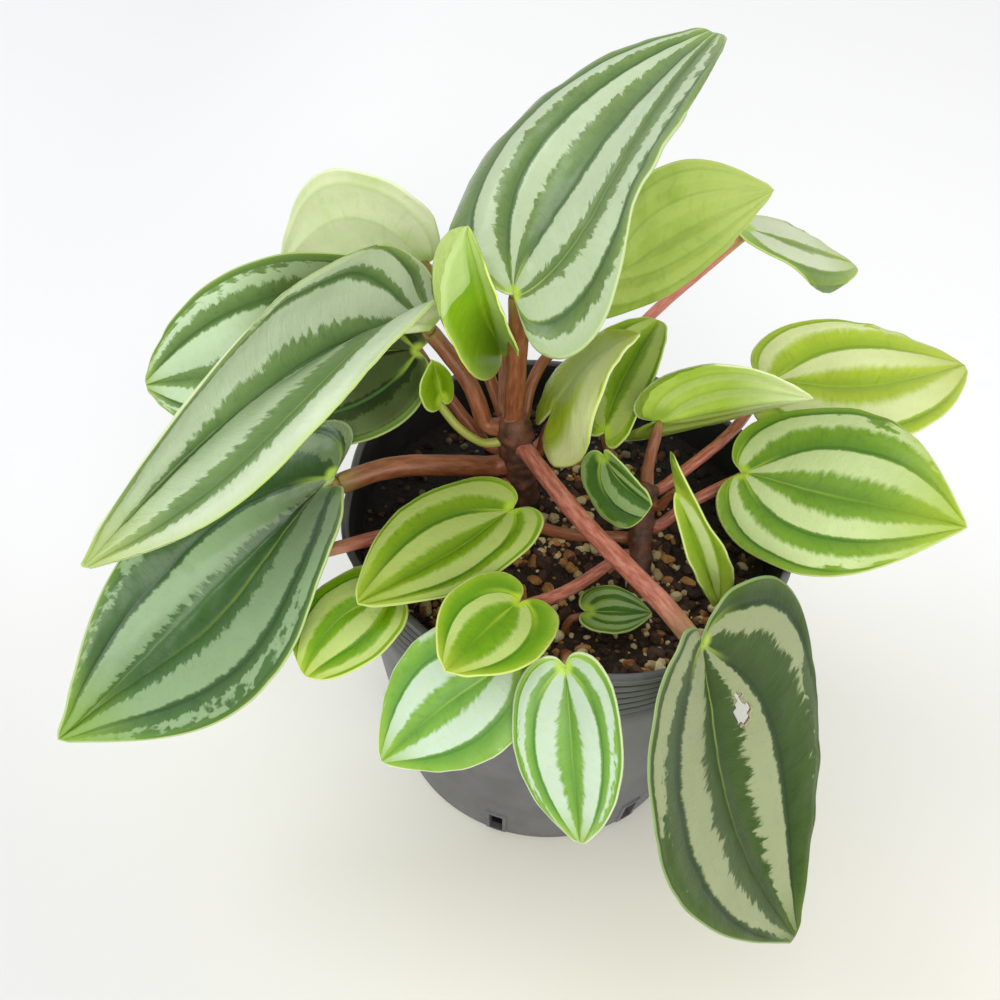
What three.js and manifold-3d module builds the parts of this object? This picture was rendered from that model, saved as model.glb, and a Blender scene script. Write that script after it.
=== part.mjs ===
// A striped peperomia in a slit nursery pot. Millimetres, +Z up, origin at the centre of the pot's underside.
import * as THREE from 'three';
import { mergeVertices } from 'three/addons/utils/BufferGeometryUtils.js';
import Module from 'manifold-3d';

const manifold = await Module();
manifold.setup();

// Pot
const POT_HEIGHT = 76;
const RIM_RADIUS = 45;
const FOOT_RADIUS = 34;
const WALL = 1.2;
const FLOOR = 1.6;
const RIB_COUNT = 6;
const RIB_PITCH = 1.3;
const RIB_DEPTH = 0.4;
const BAND_TOP = 1.4;
const CORNERS = 8;
const CORNER_SWELL = 0.016;
const CORNER_BAND = 14;
const SLIT_COUNT = 7;
const SLIT_WIDTH = 3;
const SLIT_HEIGHT = 7;
const SLIT_START = THREE.MathUtils.degToRad(-106);
const POT_SIDES = 48;

// Soil
const SOIL_LEVEL = 65.5;
const SOIL_BUMP = 0.7;
const GAP = 0.3;

// Leaves and stalks
const BLADE_THICKNESS = 1.2;
const BLADE_ROWS = 12;
const UPPER_STRIPS = 10;
const UNDER_STRIPS = 6;
const WIDEST_AT = 0.34;
const LOBE_SHARE = 0.42;
const VEIN_SPREAD = 1.6;
const STALK_SIDES = 8;

const MATURE = new THREE.Color(0x4f7a45);
const YOUNG = new THREE.Color(0x8fb53c);
const STALK = new THREE.Color(0x9c5f48);
const GREEN_STALK = new THREE.Color(0x93a83e);
const STEM = new THREE.Color(0x5d3d2c);

// Each leaf: where its stalk joins it, the way it points (degrees), its size, and how its blade bends.
// heading turns about +Z from +X, rise lifts the tip, roll lifts the left side; half is the half width; lobe is how
// far the base reaches behind the stalk; droop, sweep and twist bend the blade along its length; fold lifts a half
// from the midrib and curl bends it on towards the margin. A pair is for the left and the right half.
const LEAVES = [
  { name: 'top', look: MATURE, at: [-13.6, 9.8, 116.3], heading: 92, rise: 40, roll: -31,
    length: 66, half: [18.6, 27], lobe: [5, 17], droop: 33, sweep: -49, twist: -40, fold: [42, -9], curl: [-78, 35],
    stalk: { from: [-11.8, 12.6, 84.2], via: [[-12, 11.6, 98]], thick: 4 } },
  { name: 'left_upper', look: MATURE, at: [-28.6, 18.9, 102.1], heading: -144, rise: 16, roll: -21,
    length: 81, half: [21, 18], lobe: [1, 5], droop: 58, sweep: 25, twist: -83, fold: [91, 5], curl: [-31, 70],
    stalk: { from: [-17.2, 13.2, 82], via: [[-22, 16, 92]], thick: 3.6 } },
  { name: 'left_lower', look: MATURE, at: [-46, -4, 81], heading: -142, rise: -32, roll: 12,
    length: 74, half: [27, 19], lobe: 9, droop: -5, sweep: 3, twist: -66, fold: 32, curl: -20,
    stalk: { from: [-15.6, 9.5, 74], via: [[-24, 4, 78.5], [-36, 0, 80.5]], thick: 4.4 } },
  { name: 'front_right', look: MATURE, at: [22, -41, 84], heading: -50, rise: -72, roll: -11,
    length: 72, half: [27, 28], lobe: 11, droop: -26, sweep: 4, twist: -6, fold: 21, curl: -18,
    stalk: { from: [-8.6, 8.2, 79.6], via: [[2, -12, 81.8], [17, -36, 85]], thick: 3.6 } },
  { name: 'left_back', look: MATURE, at: [-32, 22, 93], heading: -172, rise: 7, roll: -47,
    length: 65, half: [21, 20], lobe: 4, droop: 52, sweep: 14, twist: 2, fold: 21, curl: -13,
    stalk: { from: [-16.6, 14.6, 75], via: [[-21, 16.5, 79], [-28, 20, 87]], thick: 2.6 } },
  { name: 'back_left', look: YOUNG, at: [-32, 42, 101], heading: 168, rise: 2, roll: 79,
    length: 36, half: [21, 17], lobe: [4, 6], droop: 13, sweep: -23, twist: 30, fold: [5, 8], curl: [-14, -5],
    stalk: { from: [-13.8, 18, 80], via: [[-20, 27, 90]], thick: 2.6 } },
  { name: 'back_right', look: YOUNG, at: [4, 29, 108], heading: 43, rise: 17, roll: -95,
    length: 45, half: [14, 15], lobe: 6, droop: 15, sweep: 9, twist: -16, fold: 8, curl: -7,
    stalk: { from: [-9.6, 17.2, 81], via: [[-8, 23, 88], [-0.6, 25.6, 98.6], [3.9, 25.4, 104]], thick: 2.4 } },
  { name: 'far_right', look: MATURE, at: [38, 63, 102], heading: -21, rise: -10, roll: -15,
    length: 33, half: [10, 11], lobe: [4, 5], droop: 11, sweep: 52, twist: 0, fold: [11, -5], curl: [1, -21],
    stalk: { from: [-6.4, 15.4, 75], via: [[3, 27, 81], [15, 41, 90]], thick: 2.4 } },
  { name: 'right_upper', look: YOUNG, at: [42.6, 30.6, 84.6], heading: -5, rise: 5, roll: 20,
    length: 50, half: [16, 17], lobe: 6, droop: 30, sweep: 27, twist: -8, fold: 8, curl: -11,
    stalk: { from: [18.4, 2.6, 77], via: [[25, 8.7, 78.5], [35, 20.6, 78.8]], thick: 2.4 } },
  { name: 'right_middle', look: YOUNG, at: [33.7, 2, 83.5], heading: -23, rise: 12, roll: 19,
    length: 43, half: [20, 17], lobe: 5, droop: -4, sweep: -8, twist: 20, fold: 2, curl: -22,
    stalk: { from: [18.2, -4.4, 73.5], via: [[26, 0.6, 77]], thick: 2.4 } },
  { name: 'right_inner', look: YOUNG, at: [16.9, 13, 86], heading: 24, rise: 0, roll: -80,
    length: 33, half: [10, 11], lobe: 4, droop: 28, sweep: -18, twist: 2, fold: 17, curl: -2,
    stalk: { from: [15.6, 3.8, 80.4], via: [[16.4, 8, 82]], thick: 2.4 } },
  { name: 'centre_left', look: YOUNG, at: [-11, -11.4, 82.5], heading: -138, rise: -1, roll: -2,
    length: 38, half: [11, 12], lobe: 5, droop: -1, sweep: 3, twist: -8, fold: 14, curl: -11,
    stalk: { from: [11.2, -6.6, 72], via: [[-1, -8.5, 74]], thick: 2.4 } },
  { name: 'front_heart', look: YOUNG, at: [-9, -35.8, 84.8], heading: -127, rise: 11, roll: -8,
    length: 22, half: [10, 9], lobe: 5, droop: 13, sweep: 6, twist: -3, fold: 7, curl: -3,
    stalk: { from: [11.2, -10.6, 71], via: [[0, -25, 76]], thick: 2.4 } },
  { name: 'front_left', look: MATURE, at: [-10, -45, 80.5], heading: -142, rise: -25, roll: -20,
    length: 30, half: [11, 13], lobe: 6, droop: 29, sweep: -7, twist: -9, fold: 6, curl: -21,
    stalk: { from: [-8, -34, 67], via: [[-8.6, -37.5, 76.4]], thick: 2.2 } },
  { name: 'front_hanging', look: YOUNG, at: [-1, -48, 84], heading: -76, rise: -36, roll: 32,
    length: 34, half: 10, lobe: 3, droop: 41, sweep: -16, twist: 2, fold: 21, curl: -11,
    stalk: { from: [-1, -38, 67], via: [[-0.4, -40.5, 77]], thick: 2.2 } },
  { name: 'low_left', look: YOUNG, at: [-32.3, -31.4, 79.2], heading: -154, rise: -9, roll: 0,
    length: 23.4, half: 10, lobe: 3, droop: 38, sweep: 24, twist: 1, fold: 7, curl: -12,
    stalk: { from: [-12.6, 5.6, 68.5], via: [[-18, -10, 72], [-26, -22, 76.6]], thick: 2 } },
  { name: 'under_left', look: YOUNG, at: [-47.8, -22.6, 78.8], heading: -160, rise: -80, roll: 0,
    length: 24, half: 7, lobe: 2, droop: -8, sweep: 0, twist: 0, fold: 5, curl: -10,
    stalk: { from: [-14.4, 6.4, 70.5], via: [[-24, -6, 74], [-40, -19, 78.6]], thick: 2.6 } },
  { name: 'young_crown', look: YOUNG, at: [-15, 22.3, 93.4], heading: 156, rise: 65, roll: -66,
    length: 28, half: [10, 9], lobe: 4, droop: 0, sweep: -8, twist: -21, fold: 36, curl: 37,
    stalk: { from: [-14, 16.4, 83.6], via: [[-14.4, 21, 87.4]], thick: 2.2 } },
  { name: 'crown_bud', look: YOUNG, at: [-26.4, 10.4, 90], heading: 138, rise: 69, roll: 1,
    length: 9, half: [5, 4], lobe: 2, droop: 5, sweep: -5, twist: 4, fold: 4, curl: -8,
    stalk: { from: [-17, 10.4, 79.4], via: [[-21.4, 9.6, 82.4]], thick: 1.8, look: GREEN_STALK } },
  { name: 'inner_upright', look: YOUNG, at: [-3.8, 12.6, 88.4], heading: -5, rise: 72, roll: 9,
    length: 27, half: [12, 16], lobe: [12, 10], droop: 29, sweep: -13, twist: -34, fold: [3, 0], curl: [-11, -41],
    stalk: { from: [-5.8, 12.4, 76.4], via: [[-4.6, 13.4, 82]], thick: 2.2 } },
  { name: 'inner_back', look: YOUNG, at: [6.6, 10, 84.6], heading: 81, rise: 36, roll: -12,
    length: 33, half: [10, 10], lobe: [2, 7], droop: 40, sweep: -18, twist: -7, fold: [16, 18], curl: [4, 12],
    stalk: { from: [12.4, 0.4, 78], via: [[9, 5, 80]], thick: 2.2 } },
  { name: 'inner_front', look: MATURE, at: [5.7, -2.5, 90], heading: -64, rise: -27, roll: 60,
    length: 20, half: [5, 8], lobe: 3, droop: 8, sweep: 41, twist: -6, fold: 6, curl: -5,
    stalk: { from: [11.5, -4.6, 75.2], via: [[8, -1.4, 84]], thick: 1.8 } },
  { name: 'edge_on', look: YOUNG, at: [20, -6, 85], heading: -61, rise: -28, roll: 31,
    length: 24, half: [10, 9], lobe: 6, droop: 32, sweep: -6, twist: -19, fold: 49, curl: 30,
    stalk: { from: [18, -3.6, 78.6], via: [[19, -4.4, 81.6]], thick: 1.8 } },
  { name: 'on_soil', look: MATURE, at: [4, -25.4, 70.8], heading: 0, rise: 3, roll: 4,
    length: 13, half: [6, 5], lobe: 2, droop: 9, sweep: 5, twist: 7, fold: 7, curl: -7,
    stalk: { from: [0.6, -26, 66.8], via: [[1.6, -25.6, 69]], thick: 1.4 } },
];

const STEMS = [
  { name: 'main_stem', route: [[-9, 10, 67], [-10.4, 11, 75], [-11.6, 12.4, 83.4]], thick: 7 },
  { name: 'side_shoot', route: [[15, -13.5, 68.1], [14.6, -8, 73], [15.4, -0.6, 79.6]], thick: 4.6 },
];

const rad = THREE.MathUtils.degToRad;
const sideOf = (value, v) => (Array.isArray(value) ? value[v > 0 ? 0 : 1] : value);
const vec = ([x, y, z]) => new THREE.Vector3(x, y, z);

function material(color, roughness) {
  return new THREE.MeshStandardMaterial({ color, roughness, metalness: 0 });
}

// ---------------------------------------------------------------- booleans
function toSolid(geometry) {
  const bare = geometry.clone();
  bare.deleteAttribute('normal');
  bare.deleteAttribute('uv');
  const welded = mergeVertices(bare, 1e-4);
  const vertProperties = new Float32Array(welded.attributes.position.array);
  const triVerts = new Uint32Array(welded.index.array);
  return new manifold.Manifold(new manifold.Mesh({ numProp: 3, vertProperties, triVerts }));
}

function fromSolid(solid) {
  const mesh = solid.getMesh();
  const geometry = new THREE.BufferGeometry();
  geometry.setAttribute('position', new THREE.BufferAttribute(mesh.vertProperties, 3));
  geometry.setIndex(new THREE.BufferAttribute(mesh.triVerts, 1));
  geometry.computeVertexNormals();
  return geometry;
}

// ---------------------------------------------------------------- pot
const outerRadius = (z) => THREE.MathUtils.lerp(FOOT_RADIUS, RIM_RADIUS, z / POT_HEIGHT);
const innerRadius = (z) => outerRadius(z) - WALL;

function potProfile() {
  const points = [[0, 0], [FOOT_RADIUS, 0]];
  const lowestRib = POT_HEIGHT - BAND_TOP - RIB_COUNT * RIB_PITCH;
  for (let i = 0; i < RIB_COUNT; i++) {
    const z = lowestRib + i * RIB_PITCH;
    points.push([outerRadius(z) - RIB_DEPTH, z]);
    points.push([outerRadius(z + RIB_PITCH / 2), z + RIB_PITCH / 2]);
  }
  const bandFoot = POT_HEIGHT - BAND_TOP;
  points.push([outerRadius(bandFoot) - RIB_DEPTH, bandFoot]);
  points.push([outerRadius(bandFoot + RIB_PITCH / 2), bandFoot + RIB_PITCH / 2]);
  points.push([RIM_RADIUS, POT_HEIGHT]);
  points.push([RIM_RADIUS - WALL - RIB_DEPTH, POT_HEIGHT]);
  points.push([innerRadius(lowestRib) - RIB_DEPTH, lowestRib]);
  points.push([innerRadius(FLOOR), FLOOR], [0, FLOOR]);
  return points.map(([r, z]) => new THREE.Vector2(r, z));
}

// The rim is a soft octagon that fades into the round wall below it.
function swellCorners(geometry) {
  const p = geometry.attributes.position;
  for (let i = 0; i < p.count; i++) {
    const angle = Math.atan2(p.getY(i), p.getX(i));
    const height = THREE.MathUtils.smoothstep(p.getZ(i), POT_HEIGHT - CORNER_BAND, POT_HEIGHT);
    const corner = -Math.cos(CORNERS * angle) * CORNER_SWELL * height;
    p.setX(i, p.getX(i) * (1 + corner));
    p.setY(i, p.getY(i) * (1 + corner));
  }
}

function buildPot() {
  const wall = new THREE.LatheGeometry(potProfile(), POT_SIDES);
  wall.rotateX(Math.PI / 2);
  swellCorners(wall);
  let solid = toSolid(wall);
  for (let i = 0; i < SLIT_COUNT; i++) {
    const angle = SLIT_START + (i * 2 * Math.PI) / SLIT_COUNT;
    const slit = new THREE.BoxGeometry(8, SLIT_WIDTH, SLIT_HEIGHT);
    slit.translate(FOOT_RADIUS, 0, FLOOR + SLIT_HEIGHT / 2);
    slit.rotateZ(angle);
    solid = solid.subtract(toSolid(slit));
  }
  const pot = new THREE.Mesh(fromSolid(solid), material(0x5c5c60, 0.6));
  pot.name = 'pot';
  return pot;
}

// ---------------------------------------------------------------- soil
function soilTop(x, y) {
  const waves = Math.sin(x * 0.21 + 1) * Math.cos(y * 0.17) + 0.6 * Math.sin(x * 0.43 - y * 0.37);
  return SOIL_LEVEL + SOIL_BUMP * waves;
}

function buildSoil() {
  const foot = FLOOR + GAP;
  const edge = SOIL_LEVEL;
  const neck = POT_HEIGHT - BAND_TOP - RIB_COUNT * RIB_PITCH;
  const profile = [
    [0, foot],
    [innerRadius(foot) - 3 * GAP, foot],
    [innerRadius(neck) - RIB_DEPTH - 3 * GAP, neck - GAP],
    [innerRadius(edge) - RIB_DEPTH - 3 * GAP, edge],
    [34, edge],
    [24, edge],
    [13, edge],
    [0, edge],
  ].map(([r, z]) => new THREE.Vector2(r, z));
  const geometry = new THREE.LatheGeometry(profile, 32);
  geometry.rotateX(Math.PI / 2);
  const p = geometry.attributes.position;
  for (let i = 0; i < p.count; i++) {
    const inside = Math.hypot(p.getX(i), p.getY(i)) < 35;
    if (inside && p.getZ(i) > edge - GAP) p.setZ(i, soilTop(p.getX(i), p.getY(i)));
  }
  const soil = new THREE.Mesh(geometry, material(0x3d2c22, 0.95));
  soil.name = 'soil';
  return soil;
}

// ---------------------------------------------------------------- leaf blades
// One half of the outline, from the notch at the stalk round the lobe to the widest place, then to the tip.
const lobeArc = new THREE.CubicBezierCurve(
  new THREE.Vector2(0, 0),
  new THREE.Vector2(-1.25, 0.12),
  new THREE.Vector2(-1.05, 1),
  new THREE.Vector2(0, 1),
);
const tipArc = new THREE.CubicBezierCurve(
  new THREE.Vector2(WIDEST_AT, 1),
  new THREE.Vector2(0.66, 1),
  new THREE.Vector2(0.86, 0.32),
  new THREE.Vector2(1, 0),
);

function margin(leaf, u, v) {
  if (u > LOBE_SHARE) {
    const p = tipArc.getPoint((u - LOBE_SHARE) / (1 - LOBE_SHARE));
    return [p.x * leaf.length, p.y];
  }
  const t = u / LOBE_SHARE;
  const p = lobeArc.getPoint(t);
  return [p.x * sideOf(leaf.lobe, v) + t ** 3 * WIDEST_AT * leaf.length, p.y];
}

// A point of the blade: u runs from stalk to tip along the veins, v from the right margin (-1) to the left (+1).
function bladePoint(leaf, u, v) {
  const [marginX, marginY] = margin(leaf, u, v);
  const spread = Math.abs(v) ** VEIN_SPREAD;
  const x = (1 - spread) * leaf.length * u + spread * marginX;
  const out = Math.abs(v) * marginY;
  const lift = rad(sideOf(leaf.fold, v) + (sideOf(leaf.curl, v) * out) / 2);
  const along = THREE.MathUtils.clamp(x / leaf.length, 0, 1);
  const bend = rad(leaf.droop) * along;
  const midYaw = rad(leaf.sweep) * (along - along ** 2 / 3);
  const yaw = rad(leaf.sweep) * (1 - (1 - along) ** 2);
  const spine = new THREE.Vector3(x, 0, 0).applyEuler(new THREE.Euler(0, bend / 2, midYaw, 'ZYX'));
  const side = new THREE.Vector3(0, Math.sign(v) * Math.cos(lift), Math.sin(lift));
  side.multiplyScalar(out * sideOf(leaf.half, v));
  return spine.add(side.applyEuler(new THREE.Euler(rad(leaf.twist) * along, bend, yaw, 'ZYX')));
}

function bladeNormal(leaf, u, v) {
  const e = 0.02;
  const uMid = THREE.MathUtils.clamp(u, 2 * e, 1 - 2 * e);
  const alongVein = bladePoint(leaf, uMid + e, v).sub(bladePoint(leaf, uMid - e, v));
  const across = bladePoint(leaf, uMid, Math.min(v + e, 1)).sub(bladePoint(leaf, uMid, Math.max(v - e, -1)));
  return alongVein.cross(across).normalize();
}

function bladeThickness(u, v) {
  return BLADE_THICKNESS * Math.sqrt(1 - v ** 2) * Math.min(1, 0.3 + 4 * u, 0.3 + 3 * (1 - u));
}

// Every row is a closed ring: over the upper face from left to right, then back along the underside.
function bladeRing(leaf, u) {
  const ring = [];
  for (let k = 0; k < UPPER_STRIPS + UNDER_STRIPS; k++) {
    const upper = k <= UPPER_STRIPS;
    const v = upper ? 1 - (2 * k) / UPPER_STRIPS : -1 + (2 * (k - UPPER_STRIPS)) / UNDER_STRIPS;
    const half = ((upper ? 1 : -1) * bladeThickness(u, v)) / 2;
    ring.push(bladePoint(leaf, u, v).addScaledVector(bladeNormal(leaf, u, v), half));
  }
  return ring;
}

function bladeGeometry(leaf) {
  const around = UPPER_STRIPS + UNDER_STRIPS;
  const points = [bladePoint(leaf, 0, 0)];
  const index = [];
  for (let row = 1; row < BLADE_ROWS; row++) points.push(...bladeRing(leaf, row / BLADE_ROWS));
  points.push(bladePoint(leaf, 1, 0));
  const last = points.length - 1;
  const at = (row, k) => 1 + (row - 1) * around + (k % around);
  for (let k = 0; k < around; k++) {
    index.push(0, at(1, k + 1), at(1, k));
    index.push(last, at(BLADE_ROWS - 1, k), at(BLADE_ROWS - 1, k + 1));
    for (let row = 1; row < BLADE_ROWS - 1; row++) {
      index.push(at(row, k), at(row, k + 1), at(row + 1, k));
      index.push(at(row, k + 1), at(row + 1, k + 1), at(row + 1, k));
    }
  }
  const geometry = new THREE.BufferGeometry().setFromPoints(points);
  geometry.setIndex(index);
  geometry.computeVertexNormals();
  return geometry;
}

function buildBlade(leaf) {
  const blade = new THREE.Mesh(bladeGeometry(leaf), material(leaf.look, 0.4));
  blade.name = `leaf_${leaf.name}`;
  blade.position.set(...leaf.at);
  blade.rotation.set(rad(leaf.roll), rad(-leaf.rise), rad(leaf.heading), 'ZYX');
  return blade;
}

// ---------------------------------------------------------------- stalks and stems
function roundBar(route, thick) {
  const section = new THREE.Shape();
  for (let i = 0; i < STALK_SIDES; i++) {
    const angle = (2 * Math.PI * i) / STALK_SIDES;
    const x = (thick / 2) * Math.cos(angle);
    const y = (thick / 2) * Math.sin(angle);
    if (i === 0) section.moveTo(x, y);
    else section.lineTo(x, y);
  }
  section.closePath();
  const path = new THREE.CatmullRomCurve3(route);
  const steps = Math.max(4, Math.round(path.getLength() / 6));
  return new THREE.ExtrudeGeometry(section, { extrudePath: path, steps, bevelEnabled: false });
}

// The stalk ends just under the blade, behind the notch between its lobes.
function stalkEnd(leaf) {
  const turn = new THREE.Euler(rad(leaf.roll), rad(-leaf.rise), rad(leaf.heading), 'ZYX');
  const below = new THREE.Vector3(-0.4, 0, -(leaf.stalk.thick / 2 + BLADE_THICKNESS / 2 + GAP)).applyEuler(turn);
  return vec(leaf.at).add(below);
}

function buildStalk(leaf) {
  const { from, via, thick, look = STALK } = leaf.stalk;
  const route = [vec(from), ...via.map(vec), stalkEnd(leaf)];
  const stalk = new THREE.Mesh(roundBar(route, thick), material(look, 0.5));
  stalk.name = `stalk_${leaf.name}`;
  return stalk;
}

function buildStem({ name, route, thick }) {
  const stem = new THREE.Mesh(roundBar(route.map(vec), thick), material(STEM, 0.7));
  stem.name = name;
  return stem;
}

// ---------------------------------------------------------------- assembly
const plant = new THREE.Group();
plant.add(...STEMS.map(buildStem), ...LEAVES.map(buildStalk), ...LEAVES.map(buildBlade));

const pottedPeperomia = new THREE.Group();
pottedPeperomia.add(buildPot(), buildSoil(), plant);

export default pottedPeperomia;
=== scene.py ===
"""A striped peperomia in a slit nursery pot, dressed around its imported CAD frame. Metres, +Z up."""

import math
import random
from types import SimpleNamespace

import bpy
import numpy as np
from mathutils import Matrix, Vector, noise


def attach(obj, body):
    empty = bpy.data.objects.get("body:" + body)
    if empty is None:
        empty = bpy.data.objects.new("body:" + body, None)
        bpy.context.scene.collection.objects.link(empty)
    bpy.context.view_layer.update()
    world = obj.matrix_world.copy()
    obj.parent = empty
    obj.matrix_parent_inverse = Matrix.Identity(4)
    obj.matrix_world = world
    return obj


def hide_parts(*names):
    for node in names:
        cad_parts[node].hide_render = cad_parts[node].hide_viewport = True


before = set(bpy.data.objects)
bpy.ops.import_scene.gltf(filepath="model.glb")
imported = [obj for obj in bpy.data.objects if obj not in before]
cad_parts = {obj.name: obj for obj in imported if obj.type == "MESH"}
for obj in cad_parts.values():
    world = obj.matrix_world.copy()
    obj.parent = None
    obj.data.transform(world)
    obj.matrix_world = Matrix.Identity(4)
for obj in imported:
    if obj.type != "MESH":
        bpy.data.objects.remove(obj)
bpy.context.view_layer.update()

MM = 0.001
HAIR = 1e-6  # an allowance for rounding

# ---------------------------------------------------------------- stage
CAMERA_PLACE = (-0.0135, -0.158, 0.2305)
CAMERA_PITCH = 44.8  # degrees below the horizon
CAMERA_ROLL = 3.8
LENS = 39.6
SENSOR = 36.0
NEAR_CLIP, FAR_CLIP = 0.01, 20.0
FLOOR_HALF = 1.6
SKY_TINT = (0.99, 0.99, 1.0, 1.0)
SKY_STRENGTH = 0.76

# ---------------------------------------------------------------- how the CAD blades are laid out
AROUND = 16  # points round one row of a CAD blade
OVER_STRIPS = 10  # strips on its upper face; the rest are under it
LAST_ROW = 12
MIDDLE_COLUMNS = 21

# ---------------------------------------------------------------- how a drawn blade is formed, lengths in metres
DRAWN_STEP = 0.75 * MM  # the size of the drawn faces
FEWEST_ROWS, MOST_ROWS = 36, 100
FEWEST_COLUMNS, MOST_COLUMNS = 14, 36  # from the midrib to the margin
TIP_ROWS = 10  # rows that round off the tip
USUAL_END = (0.97, 1.4)  # the last u of a blade, and the millimetres over which it rounds off
FULL_SIZE = 20 * MM  # a blade this wide from midrib to margin has the whole relief below
THICK_AT_RIB = 0.95 * MM
THICK_AT_RIM = 0.6 * MM
QUILT = 0.34 * MM  # how far a band swells between its veins
VEIN_SUNK, VEIN_WIDTH = 0.20 * MM, 0.07
PUCKER, PUCKERS_A_METRE = 0.16 * MM, 260
RIM_WAVE = 0.22 * MM
ROLL_PROUD = 0.6 * MM  # how far a rolled margin stands up
ROLL_LENGTH = 0.10  # the share of the blade over which a roll starts
RIDGE, RIDGE_WIDTH = 0.8 * MM, 0.9 * MM  # the midrib under the blade
SIDE_RIDGE, SIDE_RIDGE_WIDTH = 0.09 * MM, 0.10

# ---------------------------------------------------------------- stalks and stems
STALK_SIDES, STEM_SIDES, STEM_ROWS = 20, 36, 46
STALK_STEP = 1.1 * MM
STALK_GROOVE, GROOVE_WIDTH = 0.14, 0.45  # share of the radius, and half its width in radians
CAP_TURNS, CAP_REACH = (35, 65), 0.7  # the rounded end of a bar: degrees, and share of the radius
RING_GAP, RING_SWELL = 5.2, 0.10  # the scars round a woody stem: millimetres apart, share of the radius
BARK_LUMP, BARK_LUMPS_A_METRE = 0.45 * MM, 520
STEM_FOOT = 4 * MM  # how far a stem goes on into the soil
ROOT_REACH, ROOT_INSIDE = 4 * MM, 0.35  # a stalk this near a stem starts inside it, at this share of its radius
ROOT_DEPTH = 2.5  # millimetres: where a stalk that grows from the soil starts
FOOT_SWELL, FOOT_LENGTH = 0.22, 3.0 * MM
NECK_THIN, NECK_LENGTH = 0.42, 3.2  # share of the radius, and how many radii long
WOBBLE, WOBBLES_A_METRE = 0.05, 300

# ---------------------------------------------------------------- pot, in millimetres and degrees
POT_HEIGHT = 76.0
RIM_RADIUS = 45.0
FOOT_RADIUS = 34.0
WALL = 1.2
POT_FLOOR = 1.6
RIB_COUNT = 6
RIB_PITCH = 2.4
RIB_DEPTH = 0.6
RIB_ROWS = 6
BAND_TOP = 1.4
RIBS_END = POT_HEIGHT - BAND_TOP
LOWEST_RIB = RIBS_END - RIB_COUNT * RIB_PITCH
LIP = WALL + 0.1  # how thick the rolled rim is
LIP_ROWS = 12
CORNERS = 8  # the rim is a soft octagon
CORNER_SWELL = 0.016  # share of the radius
CORNER_BAND = 14.0  # how far down from the rim the corners reach
SLIT_COUNT = 7
SLIT_START = -106.0
SLIT_WIDTH = 3.0
SLIT_HALF = math.degrees(math.asin(SLIT_WIDTH / 2 / 34.6))
SLIT_FOOT = 1.6
SLIT_HEAD = 8.6
FRAME_SIDE = 1.3  # degrees of raised frame beside a slit
FRAME_EDGE = 0.25  # degrees over which the frame falls to the wall
FRAME_PROUD = 0.35

# ---------------------------------------------------------------- soil and crumbs, in millimetres
SOIL_LEVEL = 65.5
SOIL_BUMP = 0.7
SOIL_FOOT = POT_FLOOR + 0.4
SOIL_RINGS, SOIL_SIDES = 56, 150
SIDE_SOIL = 30.0  # below this height the soil's side takes a much lighter soil finish, painted light so that it shows through the slits
CLOD, CLODS_A_MM = 0.75, 0.42
CRUMB_BREAK = 0.34  # how far from round a crumb is
BARE_SPOT, BARE_RADIUS, BARE_SIZE = (10, -25), 8, 1.2  # only fine grit under the smallest leaf
LEFT_OUT_IN_SHADE = 0.6  # the share of the crumbs left out where the painted shade on the soil is deepest


def smooth_step(x, low, high):
    t = np.clip((np.asarray(x, float) - low) / (high - low), 0, 1)
    return t * t * (3 - 2 * t)


# ================================================================ reading the CAD nodes
def welded(name):
    """The points and triangles of a CAD node, its doubled corners joined."""
    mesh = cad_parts[name].data
    points = np.empty(len(mesh.vertices) * 3, np.float32)
    mesh.vertices.foreach_get("co", points)
    points = points.reshape(-1, 3).astype(float)
    mesh.calc_loop_triangles()
    corners = np.empty(len(mesh.loop_triangles) * 3, np.int32)
    mesh.loop_triangles.foreach_get("vertices", corners)
    _, first, joined = np.unique(
        np.round(points * 1e7).astype(np.int64), axis=0, return_index=True, return_inverse=True
    )
    return points[first], joined.reshape(-1)[corners].reshape(-1, 3)


def neighbours(count, triangles):
    near = [set() for _ in range(count)]
    for a, b, c in triangles:
        near[a].update((b, c))
        near[b].update((a, c))
        near[c].update((a, b))
    return near


def steps_from(near, start):
    """How many edges away from start each point is."""
    steps = {i: 0 for i in start}
    front = list(start)
    while front:
        grown = []
        for i in front:
            for j in near[i]:
                if j not in steps:
                    steps[j] = steps[i] + 1
                    grown.append(j)
        front = grown
    return steps


def spline_shares(t, count):
    """For places t between 0 and count - 1: the first of the four padded rows to blend, and their shares."""
    start = np.clip(np.floor(t).astype(int), 0, count - 2)
    f = t - start
    shares = (
        -0.5 * f + f**2 - 0.5 * f**3,
        1 - 2.5 * f**2 + 1.5 * f**3,
        0.5 * f + 2 * f**2 - 1.5 * f**3,
        -0.5 * f**2 + 0.5 * f**3,
    )
    return start, shares


def padded(rows):
    """rows with one more at each end, straight on."""
    return np.concatenate([[2 * rows[0] - rows[1]], rows, [2 * rows[-1] - rows[-2]]])


def spline(rows, t):
    """A smooth line through rows[0], rows[1] and on, at places t."""
    start, shares = spline_shares(np.asarray(t, float), len(rows))
    full = padded(rows)
    shape = (-1,) + (1,) * (rows.ndim - 1)
    return sum(share.reshape(shape) * full[start + k] for k, share in enumerate(shares))


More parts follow.
